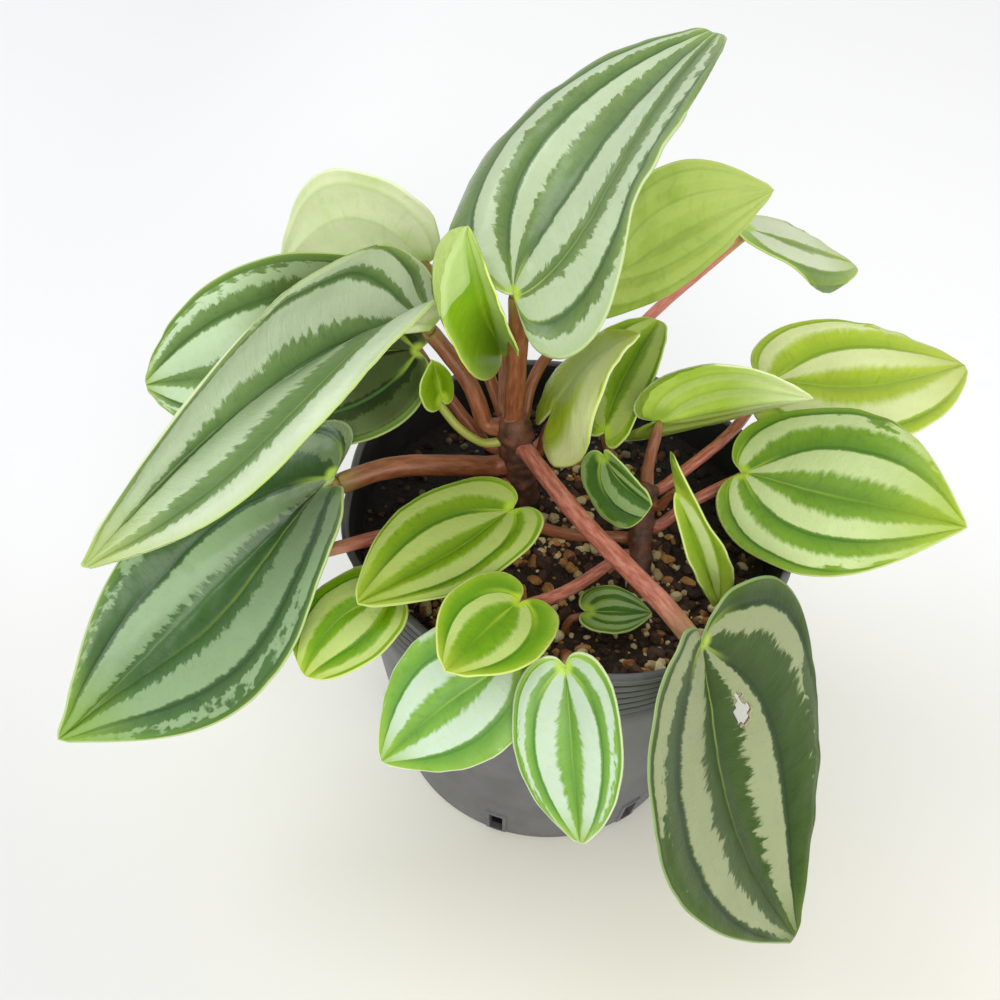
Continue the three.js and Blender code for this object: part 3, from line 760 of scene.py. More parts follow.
CROWN = upper_finish(
    "crown_leaf", jag=0.3, broken=0.3, start=0.42, soft=0.12, coat=0.2, rough=0.36, tip_from=0.50, shine=0.13,
    roll=srgb(0.73, 0.83, 0.51),
    Band=srgb(0.54, 0.70, 0.12), Silver=srgb(0.68, 0.78, 0.42), Line=srgb(0.42, 0.60, 0.08),
    Edge=srgb(0.86, 0.92, 0.42), Heart=srgb(0.76, 0.84, 0.24), Tip=srgb(0.80, 0.90, 0.52),
)
BRIGHT = upper_finish(
    "bright_leaf", jag=0.38, broken=0.9, start=0.42, soft=0.07, coat=0.3, rough=0.34, tip_from=0.66,
    Band=srgb(0.46, 0.65, 0.22), Silver=srgb(0.75, 0.83, 0.72), Line=srgb(0.28, 0.50, 0.14),
    Edge=srgb(0.86, 0.91, 0.72), Heart=srgb(0.70, 0.84, 0.30), Tip=srgb(0.58, 0.74, 0.22),
)
# painted light: a paler, brighter copy of the young finish for the leaf seen edge on, which faces away from the light
THIN_YOUNG_LIT = upper_finish(
    "thin_young_lit_leaf", jag=0.28, broken=0.4, start=0.40, soft=0.12, coat=0.15, rough=0.38, tip_from=0.45,
    Band=srgb(0.70, 0.82, 0.26), Silver=srgb(0.90, 0.94, 0.68), Line=srgb(0.56, 0.70, 0.16),
    Edge=srgb(0.88, 0.93, 0.56), Heart=srgb(0.76, 0.86, 0.30), Tip=srgb(0.80, 0.88, 0.36),
)

# Their backs.
# painted light: a brighter copy of the spring-green back for the crown leaf, whose back faces away from the light
CROWN_BACK_LIT = under_finish(
    "crown_back_lit", Flesh=srgb(0.85, 0.93, 0.56), Shade=srgb(0.80, 0.90, 0.46),
    Vein=srgb(0.76, 0.86, 0.40), Edge=srgb(0.90, 0.95, 0.66),
)
PALE_BACK = under_finish(
    "pale_back", Flesh=srgb(0.90, 0.94, 0.76), Shade=srgb(0.84, 0.90, 0.66),
    Vein=srgb(0.72, 0.82, 0.48), Edge=srgb(0.90, 0.94, 0.76),
)
SPRING_BACK = under_finish(
    "spring_back", Flesh=srgb(0.70, 0.81, 0.31), Shade=srgb(0.62, 0.75, 0.21),
    Vein=srgb(0.56, 0.69, 0.18), Edge=srgb(0.92, 0.96, 0.74),
)
LIME_BACK = under_finish(
    "lime_back", Flesh=srgb(0.64, 0.73, 0.30), Shade=srgb(0.54, 0.65, 0.19),
    Vein=srgb(0.44, 0.57, 0.14), Edge=srgb(0.74, 0.81, 0.44),
)
GREY_BACK = under_finish(
    "grey_back", Flesh=srgb(0.62, 0.70, 0.50), Shade=srgb(0.54, 0.64, 0.42),
    Vein=srgb(0.60, 0.52, 0.38), Edge=srgb(0.72, 0.80, 0.56),
)
DRY_RIM = grain_finish("dry_rim", srgb(0.78, 0.74, 0.58), srgb(0.66, 0.58, 0.40), 400.0, 2400.0, 0.7, 0.0002)

# Stalks and stems.
RED_STALK = stalk_finish("red_stalk", srgb(0.48, 0.27, 0.15), srgb(0.61, 0.38, 0.25), srgb(0.60, 0.58, 0.28))
ROSY_STALK = stalk_finish("rosy_stalk", srgb(0.62, 0.32, 0.24), srgb(0.79, 0.51, 0.43), srgb(0.66, 0.56, 0.36))
PINK_STALK = stalk_finish("pink_stalk", srgb(0.74, 0.42, 0.36), srgb(0.82, 0.54, 0.46), srgb(0.70, 0.68, 0.36))
GREEN_STALK = stalk_finish("green_stalk", srgb(0.60, 0.68, 0.26), srgb(0.68, 0.62, 0.34), srgb(0.66, 0.76, 0.30))
OLD_STEM = grain_finish("old_stem", srgb(0.27, 0.17, 0.11), srgb(0.43, 0.26, 0.18), 320.0, 1800.0, 0.6, 0.0006)

# Pot and soil.
POT_PLASTIC = pot_finish()
# painted shade: a near-black copy of the grey plastic for the pot's inside wall and floor
POT_INSIDE_SHADE = grain_finish("pot_inside_shade", srgb(0.08, 0.08, 0.08), srgb(0.13, 0.125, 0.12), 120.0, 2000.0, 0.6, 0.0001)
# painted light: brown-orange soil far lighter than the top, for the soil seen through the slits
SLIT_SOIL_LIT = grain_finish("slit_soil_lit", srgb(0.46, 0.29, 0.18), srgb(0.72, 0.50, 0.32), 500.0, 2600.0, 0.85, 0.0008)
SOIL_AND_SHADE = soil_finish()
BARK_CRUMB = crumb_finish("bark_crumb", srgb(0.15, 0.10, 0.08), srgb(0.36, 0.25, 0.18))
CLAY_CRUMB = crumb_finish("clay_crumb", srgb(0.48, 0.27, 0.12), srgb(0.80, 0.60, 0.34))
PALE_CRUMB = crumb_finish("pale_crumb", srgb(0.70, 0.60, 0.40), srgb(0.93, 0.87, 0.68))


# ================================================================ pieces
def piece(name, points, faces, finishes, stands_for=(), marks=None, maps=None, crease=None):
    """A mesh object on the root body. maps is {UV map: numbers per corner}, marks the finish number of each face."""
    mesh = bpy.data.meshes.new(name)
    mesh.from_pydata([tuple(p) for p in points], [], faces)
    for material in finishes:
        mesh.materials.append(material)
    if marks is not None:
        mesh.polygons.foreach_set("material_index", np.asarray(marks, np.int32))
    for label, numbers in (maps or {}).items():
        layer = mesh.uv_layers.new(name=label)
        layer.uv.foreach_set("vector", np.asarray(numbers, np.float32).ravel())
    mesh.shade_smooth()
    if crease:
        mesh.set_sharp_from_angle(angle=math.radians(crease))
    mesh.update()
    obj = bpy.data.objects.new(name, mesh)
    bpy.context.collection.objects.link(obj)
    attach(obj, "root")
    if stands_for:
        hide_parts(*stands_for)


# Where a blade's outline leaves its CAD blade: (u, share of the half width), left side then right side.
FULL = [(0, 1), (1, 1)]
OUTLINES = {
    "top": ([(0, 0.78), (0.12, 0.74), (0.2, 0.76), (0.27, 0.88), (0.34, 1), (0.42, 0.96), (0.6, 0.84), (1, 0.76)],
            [(0, 1), (0.3, 0.98), (0.39, 0.86), (0.5, 0.96), (0.65, 1.05), (1, 1.05)]),
    "left_upper": ([(0, 1), (0.35, 0.94), (0.5, 0.94), (0.75, 1.04), (1, 1.1)],
                   [(0, 1), (0.3, 1.02), (0.5, 1.06), (1, 1.06)]),
    "left_lower": ([(0, 0.3), (0.06, 0.4), (0.12, 0.62), (0.18, 0.82), (0.25, 0.97), (0.3, 1), (1, 1)],
                   [(0, 1.25), (0.06, 1.22), (0.14, 1.1), (0.25, 1), (1, 1)]),
    "front_right": ([(0, 1), (0.3, 1), (0.6, 0.97), (0.85, 0.88), (1, 0.9)], FULL),
    "inner_back": (FULL, [(0, 0.9), (0.5, 0.85), (1, 0.85)]),
    "inner_front": ([(0, 0.9), (0.5, 0.5), (1, 0.5)], [(0, 1), (1, 0.95)]),
    "far_right": (FULL, [(0, 1), (0.2, 0.84), (0.37, 0.70), (0.42, 0.85), (0.47, 1.42), (0.52, 1.28), (0.6, 1.06),
                         (0.75, 1), (1, 1.1)]),
    "young_crown": ([(0, 1), (0.45, 1), (0.6, 1.2), (0.75, 1.5), (0.9, 2.1), (1, 2.5)],
                    [(0, 0.7), (0.2, 0.75), (0.35, 0.95), (0.7, 1), (0.9, 1.3), (1, 1.6)]),
    "right_inner": ([(0, 1.3), (0.2, 1.22), (0.5, 1.02), (1, 1)], [(0, 1.3), (0.2, 1.22), (0.5, 1.02), (1, 1)]),
    "edge_on": ([(0, 0.7), (0.10, 1.32), (0.16, 1.32), (0.22, 0.66), (0.38, 0.52), (0.6, 0.9), (0.8, 1.1), (1, 1.9)],
                [(0, 0.5), (0.3, 0.45), (0.5, 0.72), (0.7, 1), (0.8, 1.1), (1, 1.9)]),
}
# How each leaf ends: the last u of the blade, and the millimetres over which it rounds off.
ENDS = {
    "top": (0.93, 3.2), "left_upper": (0.985, 2.4), "left_lower": (0.985, 2.2), "left_back": (0.975, 2.2),
    "front_right": (0.97, 2.6), "front_left": (0.97, 1.6), "front_hanging": (0.97, 2.0), "back_left": (0.97, 3.0),
    "back_right": (0.98, 2.0), "far_right": (0.96, 3.4), "right_upper": (0.97, 3.2), "right_middle": (0.99, 1.2),
    "right_inner": (0.98, 1.4), "centre_left": (0.95, 2.6), "front_heart": (0.93, 2.4), "low_left": (0.88, 3.4),
    "inner_back": (0.90, 3.6), "inner_front": (0.70, 3.0), "inner_upright": (0.97, 1.2), "edge_on": (0.95, 1.8),
    "young_crown": (0.97, 1.6),
}

# A blade that leans away from its CAD blade further out: from u, to u, and how many millimetres each way.
LEANS = {
    "young_crown": (0.0, 0.5, (0.7, -13.8, 9.0)),
    "inner_back": (0.0, 0.4, (0.0, 2.9, -1.9)),
    "low_left": (0.0, 0.25, (0.4, 0.4, -0.5)),
}
# Where a blade's margin is rolled over and shows its underside from above: least u, least share of the half width.
ROLLED = {"young_crown": (0.54, 0.18)}

# Each leaf: its finishes above and below, the record's slot, and its veins. A vein is its number and its v at each of
# VEIN_PLACES. Vein 0 is the midrib and minus is the right half. The green of a band ends 0.45 beyond a vein.
VEIN_PLACES = (0.15, 0.5, 0.85)
PLAIN_VEINS = [
    (-2.3, -1, -1, -1), (-2, -0.84, -0.84, -0.84), (-1, -0.46, -0.46, -0.46), (0, 0, 0, 0),
    (1, 0.46, 0.46, 0.46), (2, 0.84, 0.84, 0.84), (2.3, 1, 1, 1),
]
LEAVES = {
    "top": (MATURE, GREY_BACK, "mature_leaf", [
        (-2.2, -1.02, -1.2, -1.4), (-2, -0.99, -1.15, -1.3), (-1.45, -0.89, -0.90, -1.2), (-1, -0.80, -0.80, -1.0),
        (-0.45, -0.58, -0.68, -0.80), (0, -0.53, -0.53, -0.53), (0.45, -0.47, -0.49, -0.46), (1, -0.24, -0.22, -0.28),
        (1.45, 0.03, 0.03, 0.06), (2, 0.31, 0.27, 0.30), (2.45, 0.46, 0.49, 0.48), (3, 0.70, 0.68, 0.66),
        (3.2, 0.78, 0.76, 0.74)]),
    "left_upper": (PALE_MATURE, PALE_BACK, "mature_leaf", [
        (-4, -0.93, -1.4, -1.6), (-3.45, -0.87, -1.3, -1.5), (-3, -0.80, -1.2, -1.4), (-2.45, -0.70, -1.06, -1.2),
        (-2, -0.63, -0.96, -1.0), (-1.45, -0.44, -0.37, -0.20), (-1, -0.14, -0.01, 0.16), (-0.45, 0.24, 0.37, 0.52),
        (0, 0.58, 0.62, 0.72), (0.45, 0.68, 0.73, 0.86), (0.98, 0.98, 0.97, 1.08)]),
    "left_lower": (DEEP, GREY_BACK, "mature_leaf", [
        (-2.1, -1, -1, -1.1), (-2, -0.96, -0.97, -1.05), (-1.45, -0.80, -0.82, -0.95), (-1, -0.52, -0.50, -0.72),
        (-0.45, -0.24, -0.16, -0.22), (0, 0.24, 0.26, 0.14), (0.45, 0.46, 0.40, 0.32), (1, 0.76, 0.73, 0.62),
        (1.45, 0.86, 0.83, 0.82), (2, 0.96, 0.95, 1.0), (2.1, 1, 1, 1.1)]),
    "left_back": (HALF_SHADED, GREY_BACK, "mature_leaf", [
        (-2.1, -1, -1, -1), (-2, -0.93, -0.93, -0.93), (-1.45, -0.80, -0.80, -0.80), (-1, -0.58, -0.58, -0.56),
        (-0.45, -0.16, -0.16, -0.10), (0, 0.12, 0.12, 0.16), (0.45, 0.36, 0.36, 0.40), (1, 0.68, 0.68, 0.70),
        (1.45, 0.82, 0.82, 0.84), (2, 0.95, 0.95, 0.97), (2.1, 1, 1, 1)]),
    "front_right": (DUSKY, GREY_BACK, "mature_leaf", [
        (-2.1, -1, -1.03, -1.15), (-2, -0.96, -0.99, -1.1), (-1.45, -0.82, -0.90, -1.03), (-1, -0.68, -0.76, -0.93),
        (-0.45, -0.28, -0.42, -0.62), (0, 0.04, -0.12, -0.28), (0.45, 0.29, 0.14, 0.03), (1, 0.43, 0.47, 0.50),
        (1.45, 0.66, 0.84, 0.80), (2, 0.84, 0.97, 0.97), (2.3, 1, 1.1, 1.1)]),
    "far_right": (FROSTED, GREY_BACK, "mature_leaf", [
        (-1.25, -1.45, -1.45, -1.3), (-1, -0.66, -0.72, -0.70), (-0.45, -0.20, -0.20, -0.10), (0, 0.02, 0.04, 0.06),
        (0.45, 0.18, 0.16, 0.20), (1, 1.25, 1.25, 1.25)]),
    "inner_front": (SHADED, LIME_BACK, "mature_leaf", [
        (-2, -1, -1, -1), (-1.45, -0.86, -0.86, -0.86), (-1, -0.52, -0.52, -0.52), (-0.45, -0.24, -0.24, -0.24),
        (0, 0, 0, 0), (0.45, 0.16, 0.16, 0.16), (1, 0.30, 0.30, 0.30), (1.45, 0.5, 0.5, 0.5)]),
    "on_soil": (SHADED, LIME_BACK, "mature_leaf", PLAIN_VEINS),
    "back_left": (HALF_GROWN, PALE_BACK, "leaf_underside", PLAIN_VEINS),
    "back_right": (HALF_GROWN, LIME_BACK, "leaf_underside", PLAIN_VEINS),
    "right_inner": (HALF_GROWN, SPRING_BACK, "leaf_underside", PLAIN_VEINS),
    "front_left": (BRIGHT, PALE_BACK, "bright_leaf", [
        (-1.6, -1, -1, -1), (-1.45, -0.93, -0.93, -0.93), (-1, -0.67, -0.67, -0.67), (-0.45, -0.33, -0.33, -0.33),
        (0, -0.08, -0.08, -0.08), (0.45, 0.18, 0.18, 0.18), (1, 0.61, 0.61, 0.61), (1.4, 1, 1, 1)]),
    "front_hanging": (BRIGHT, PALE_BACK, "bright_leaf", [
        (-2.1, -1, -1, -1), (-2, -0.92, -0.92, -0.95), (-1.45, -0.78, -0.80, -0.82), (-1, -0.66, -0.66, -0.62),
        (-0.45, -0.30, -0.29, -0.22), (0, -0.02, -0.01, 0.04), (0.45, 0.24, 0.27, 0.34), (1, 0.60, 0.64, 0.72),
        (1.45, 0.78, 0.79, 0.84), (2, 0.92, 0.93, 0.96), (2.1, 1, 1, 1)]),
    "centre_left": (OLIVE, LIME_BACK, "young_leaf", [
        (-2.2, -1, -1, -1), (-2, -0.94, -0.95, -0.96), (-1.45, -0.66, -0.74, -0.80), (-1, -0.42, -0.46, -0.48),
        (-0.45, -0.08, -0.12, -0.14), (0, 0.16, 0.14, 0.12), (0.45, 0.38, 0.35, 0.34), (1, 0.64, 0.68, 0.70),
        (1.45, 0.76, 0.80, 0.82), (2, 0.94, 0.96, 0.98), (2.1, 1, 1, 1)]),
    "front_heart": (YOUNG, LIME_BACK, "young_leaf", [
        (-1.4, -1, -1, -1), (-1, -0.60, -0.62, -0.66), (-0.45, -0.38, -0.40, -0.46), (0, 0, 0, 0),
        (0.42, 0.40, 0.42, 0.48), (1, 0.62, 0.66, 0.74), (1.42, 1, 1, 1)]),
    "low_left": (YOUNG, LIME_BACK, "young_leaf", [
        (-2, -1.1, -1.1, -1.1), (-1.45, -0.95, -0.95, -0.95), (-1, -0.80, -0.80, -0.80), (-0.45, -0.40, -0.42, -0.46),
        (0, -0.12, -0.16, -0.20), (0.45, 0.12, 0.06, -0.02), (1, 0.56, 0.50, 0.36), (1.45, 0.80, 0.78, 0.62),
        (2, 0.93, 0.93, 0.86), (2.1, 1, 1, 1)]),
    "under_left": (YOUNG, LIME_BACK, "young_leaf", PLAIN_VEINS),
    "right_upper": (PALE_YOUNG, LIME_BACK, "young_leaf", [
        (-1.45, -0.98, -1, -1.05), (-1, -0.80, -0.82, -0.84), (-0.45, -0.50, -0.45, -0.38), (0, -0.14, -0.16, -0.18),
        (0.45, 0.20, 0.13, 0.02), (1, 0.47, 0.50, 0.52), (1.45, 0.74, 0.80, 0.90), (2, 0.92, 0.96, 1.05),
        (2.2, 1, 1.05, 1.2)]),
    "right_middle": (HALF_GROWN, LIME_BACK, "young_leaf", [
        (-2.6, -1, -1.05, -1.1), (-2, -0.86, -0.92, -1.0), (-1.45, -0.72, -0.74, -0.86), (-1, -0.55, -0.54, -0.60),
        (-0.45, -0.30, -0.28, -0.28), (0, -0.06, -0.04, 0), (0.45, 0.17, 0.20, 0.30), (1, 0.42, 0.50, 0.72),
        (1.45, 0.64, 0.75, 0.96), (2, 0.86, 0.94, 1.15), (2.4, 1, 1.1, 1.3)]),
    "young_crown": (CROWN, CROWN_BACK_LIT, "young_leaf", [
        (-1.3, -1.2, -1.2, -1.2), (-1, -0.85, -0.85, -0.85), (-0.45, -0.20, -0.20, -0.20), (0, 0.1, 0.1, 0.1),
        (0.4, 1, 1.2, 2)]),
    "crown_bud": (OLIVE, LIME_BACK, "young_leaf", [(-0.4, -1, -1, -1), (0, 0, 0, 0), (0.4, 1, 1, 1)]),
    "inner_upright": (PALE_YOUNG, PALE_BACK, "young_leaf", [
        (-1, -1.4, -1.25, -1.3), (-0.44, -1.0, -0.34, -0.12), (0, -0.1, 0.1, 0.2), (0.34, 1.1, 1.1, 1.1)]),
    "inner_back": (OLIVE, LIME_BACK, "young_leaf", [
        (-1.2, -1, -1, -1), (-1, -0.80, -0.80, -0.80), (-0.45, -0.38, -0.38, -0.38), (0, -0.10, -0.10, -0.10),
        (0.45, 0.22, 0.22, 0.22), (1, 0.72, 0.72, 0.72), (1.4, 1, 1, 1)]),
    "edge_on": (THIN_YOUNG_LIT, LIME_BACK, "young_leaf", [
        (-0.36, -1.1, -1.1, -1.6), (0, 0, 0, 0), (0.45, 0.16, 0.16, 0.16), (1, 0.44, 0.44, 0.5),
        (1.36, 1.1, 1.1, 1.6)]),
}

# The finish and the record's slot of the stalks that aren't red-brown.
ROSY = ("front_right", "right_upper", "right_middle", "low_left", "under_left", "front_heart")
STALK_LOOKS = {"crown_bud": (GREEN_STALK, "green_stalk"), "far_right": (PINK_STALK, "stem")}
STALK_LOOKS |= {name: (ROSY_STALK, "stem") for name in ROSY}

# The torn hole in the front leaf, as corners (u, v) round its outline.
HOLE = {
    "front_right": [
        (0.245, 0.30), (0.262, 0.345), (0.290, 0.335), (0.318, 0.36), (0.338, 0.32),
        (0.345, 0.27), (0.330, 0.215), (0.305, 0.20), (0.282, 0.225), (0.268, 0.262),
    ],
}


def blade_size(blade):
    """How many rows and columns a blade is drawn with."""
    width = max(blade.half[1].max(), blade.half[-1].max())
    rows = int(np.clip(blade.length / DRAWN_STEP, FEWEST_ROWS, MOST_ROWS))
    return rows, 2 * int(np.clip(width / DRAWN_STEP, FEWEST_COLUMNS, MOST_COLUMNS))


def blade_places(name, blade, rows, columns):
    """The (u, v) of every point of the drawn blade, its share of the way to the margin, and the outline's reach."""
    end, rounding = ENDS.get(name, USUAL_END)
    rounding = rounding * MM / blade.length
    # the rows lie a little closer at both ends of the blade, and the columns much closer at its margins
    body = np.linspace(0, end - rounding, rows + 1 - TIP_ROWS)
    body = body - 0.04 * np.sin(2 * math.pi * body / body[-1]) / (2 * math.pi)
    cap = end - rounding + rounding * np.sin(np.linspace(0, math.pi / 2, TIP_ROWS + 1)[1:])
    u = np.concatenate([body, cap])
    x = np.linspace(1, -1, columns + 1)
    share = 0.45 * x + 0.55 * np.sin(x * math.pi / 2)
    left, right = OUTLINES.get(name, (FULL, FULL))
    grown = np.linspace(0, 1, 60)
    narrow = np.sqrt(1 - np.clip((u - end + rounding) / rounding, 0, 1) ** 2)
    reach = []
    for side in (left, right):
        knots = np.array(side, float)
        eased = np.convolve(np.pad(np.interp(grown, knots[:, 0], knots[:, 1]), 3, "edge"), np.ones(7) / 7, "valid")
        reach.append(np.interp(u, grown, eased) * narrow)
    uu, ss = np.meshgrid(u, share, indexing="ij")
    reach = np.where(ss > 0, reach[0][:, None], reach[1][:, None])
    return uu, ss * reach, ss, reach


def vein_numbers(veins, uu, vv):
    """The vein number at every (u, v): 0 on the midrib, whole numbers on the veins beside it."""
    table = np.array(veins, float)
    found = np.empty_like(vv)
    for i, u in enumerate(uu[:, 0]):
        knots = [np.interp(u, VEIN_PLACES, row[1:]) for row in table]
        found[i] = np.interp(vv[i], knots, table[:, 0])
    return found


def relief(vein, inset, far, scale):
    """How far the blade stands proud: sunk veins and quilted bands between them."""
    away = np.abs(vein)
    across = away - np.floor(away)
    nearest = np.minimum(across, 1 - across)
    quilt = QUILT * (0.5 - 0.5 * np.cos(2 * math.pi * across))
    sunk = VEIN_SUNK * np.exp(-((nearest / VEIN_WIDTH) ** 2))
    return (quilt - sunk) * smooth_step(inset, 0, 2.5 * MM) * smooth_step(far, 0.5 * MM, 7 * MM) * scale


def puckers(points, scale):
    rough = [noise.fractal(Vector(p * PUCKERS_A_METRE), 1.0, 2.0, 2) for p in points.reshape(-1, 3)]
    return np.array(rough).reshape(points.shape[:-1]) * PUCKER * scale


def leaned(name, points, uu):
    """The blade's points, with its end leaned over where LEANS says so."""
    if name not in LEANS:
        return points
    low, high, way = LEANS[name]
    return points + smooth_step(uu, low, high)[..., None] * np.array(way) * MM


def formed_blade(name, number, blade, veins):
    """The (u, v) of a drawn blade's points, the points in its middle, on top and below, and its finishes' numbers."""
    uu, vv, share, reach = blade_places(name, blade, *blade_size(blade))
    middle = leaned(name, blade.at(uu, vv), uu)
    normal = blade.normal(uu, vv)
    for end in (0, -1):
        mean = normal[end].mean(0)
        normal[end] = mean / np.linalg.norm(mean)
    far = np.linalg.norm(middle - middle[0, 0], axis=2)
    half = blade.half_width(uu, vv)
    inset = (1 - np.abs(share)) * half * reach
    vein = vein_numbers(veins, uu, vv)
    scale = np.clip(half.max() / FULL_SIZE, 0.35, 1)
    numbers = {"veins": np.stack([vein, uu], -1), "blade": np.stack([share, far * 100], -1)}
    numbers["rim"] = np.stack([inset / MM, np.full_like(inset, number)], -1)

    raised = relief(vein, inset, far, scale) + puckers(middle, scale)
    if name in ROLLED:
        from_u, from_share = ROLLED[name]
        along = np.clip((uu - from_u) / ROLL_LENGTH, 0, 1)
        past_fold = share - (1 - (1 - from_share) * np.sqrt(1 - (1 - along) ** 2))
        raised = raised + smooth_step(past_fold, -0.03, 0.05) * np.sqrt(np.clip(1 - share, 0, 1)) * ROLL_PROUD
        numbers["rolled"] = np.stack([past_fold, uu], -1)
    wave = np.sin(uu * 37 + 2 * np.sin(uu * 11 + number)) * np.abs(share) ** 6 * RIM_WAVE * scale
    surface = middle + normal * (raised + wave * smooth_step(far, 0, 6 * MM))[..., None]

    thick = THICK_AT_RIM + (THICK_AT_RIB - THICK_AT_RIM) * (1 - np.abs(share)) ** 0.5
    thick *= np.clip(scale * 1.1, 0.6, 1) * (0.5 + 0.5 * smooth_step(1 - uu, 0, 0.12))
    bead = np.sqrt(1 - (1 - np.clip(inset / (THICK_AT_RIM * 0.6), 0, 1)) ** 2)
    lift = normal * (thick * bead / 2)[..., None]
    ridge = RIDGE * np.exp(-((vv * half / RIDGE_WIDTH) ** 2)) * (1 - uu) ** 1.3 * smooth_step(far, 0, 2 * MM)
    ridge += SIDE_RIDGE * np.exp(-(((vein - np.round(vein)) / SIDE_RIDGE_WIDTH) ** 2)) * (1 - uu) ** 1.2
    low_points = surface - lift - normal * (ridge * scale * bead)[..., None]
    return uu, vv, middle, surface + lift, low_points, numbers


def build_leaf(name, number):
    """A leaf's blade: its upper faces, its lower faces, and the upright ones that close its notch and its hole."""
    over, under, slot, veins = LEAVES[name]
    blade = Blade(name)
    uu, vv, middle, top_points, low_points, numbers = formed_blade(name, number, blade, veins)
    rows, columns = uu.shape[0] - 1, uu.shape[1] - 1
    points, faces, marks = [], [], []
    corner_numbers = {label: [] for label in numbers}
    top_index = np.full(uu.shape, -1)
    low_index = np.full(uu.shape, -1)

    def add(point):
        points.append(point)
        return len(points) - 1

    top_index[0] = add(top_points[0, columns // 2])
    low_index[0] = add(low_points[0, columns // 2])
    for i in range(1, rows):
        for j in range(columns + 1):
            top_index[i, j] = add(top_points[i, j])
            low_index[i, j] = top_index[i, j] if j in (0, columns) else add(low_points[i, j])
    top_index[rows] = low_index[rows] = add(middle[rows, columns // 2])

    def face(grid, corners, mark):
        index = [int(grid[c]) for c in corners]
        kept = [k for k in range(len(index)) if index[k] != index[k - 1]]
        if len(kept) < 3:
            return
        faces.append([index[k] for k in kept])
        marks.append(mark)
        for label, values in numbers.items():
            for k in kept:
                i, j = corners[k]
                value = values[i, j]
                if i in (0, rows):  # all the columns meet here, so take the middle of the face's
                    js = [c[1] for c in corners]
                    value = values[i, min(js) : max(js) + 1].mean(0)
                corner_numbers[label].append(value)

    torn = torn_cells(HOLE[name], uu, vv) if name in HOLE else None
    for i in range(rows):
        for j in range(columns):
            if torn is not None and torn[i, j]:
                continue
            face(top_index, [(i, j), (i, j + 1), (i + 1, j + 1), (i + 1, j)], 0)
            face(low_index, [(i, j), (i + 1, j), (i + 1, j + 1), (i, j + 1)], 1)
    # the little upright faces that close the notch
    for j, turn in ((0, 1), (columns, -1)):
        trio = [int(top_index[0, 0]), int(top_index[1, j]), int(low_index[0, 0])][::turn]
        faces.append(trio)
        marks.append(1)
        for label, values in numbers.items():
            corner_numbers[label] += [values[0, j]] * 3
    if torn is not None:
        close_hole(torn, top_index, low_index, faces, marks, corner_numbers, numbers)
    finishes = [over, under] + ([DRY_RIM] if torn is not None else [])
    maps = {label: np.array(values) for label, values in corner_numbers.items()}
    piece(f"{name}_leaf", points, faces, finishes, [f"leaf_{name}"], marks, maps)
    return blade


def inside(outline, u, v):
    """Whether each (u, v) lies in the outline."""
    found = np.zeros(np.shape(u), bool)
    for (u0, v0), (u1, v1) in zip(outline, outline[1:] + outline[:1]):
        crosses = (v0 > v) != (v1 > v)
        with np.errstate(divide="ignore", invalid="ignore"):
            at = u0 + (v - v0) * (u1 - u0) / (v1 - v0)
        found ^= crosses & (u < at)
    return found


def torn_cells(outline, uu, vv):
    return inside(outline, (uu[1:, 1:] + uu[:-1, :-1]) / 2, (vv[1:, 1:] + vv[:-1, :-1]) / 2)


def close_hole(torn, top_index, low_index, faces, marks, corner_numbers, numbers):
    """Faces through the blade's thickness round the hole."""
    for i, j in zip(*np.nonzero(torn)):
        around = (
            ((i, j), (i, j + 1), (i - 1, j)),
            ((i, j + 1), (i + 1, j + 1), (i, j + 1)),
            ((i + 1, j + 1), (i + 1, j), (i + 1, j)),
            ((i + 1, j), (i, j), (i, j - 1)),
        )
        for a, b, beyond in around:
            if torn[beyond]:
                continue
            faces.append([int(top_index[b]), int(top_index[a]), int(low_index[a]), int(low_index[b])][::-1])
            marks.append(2)
            for label, values in numbers.items():
                corner_numbers[label] += [values[b], values[a], values[a], values[b]][::-1]


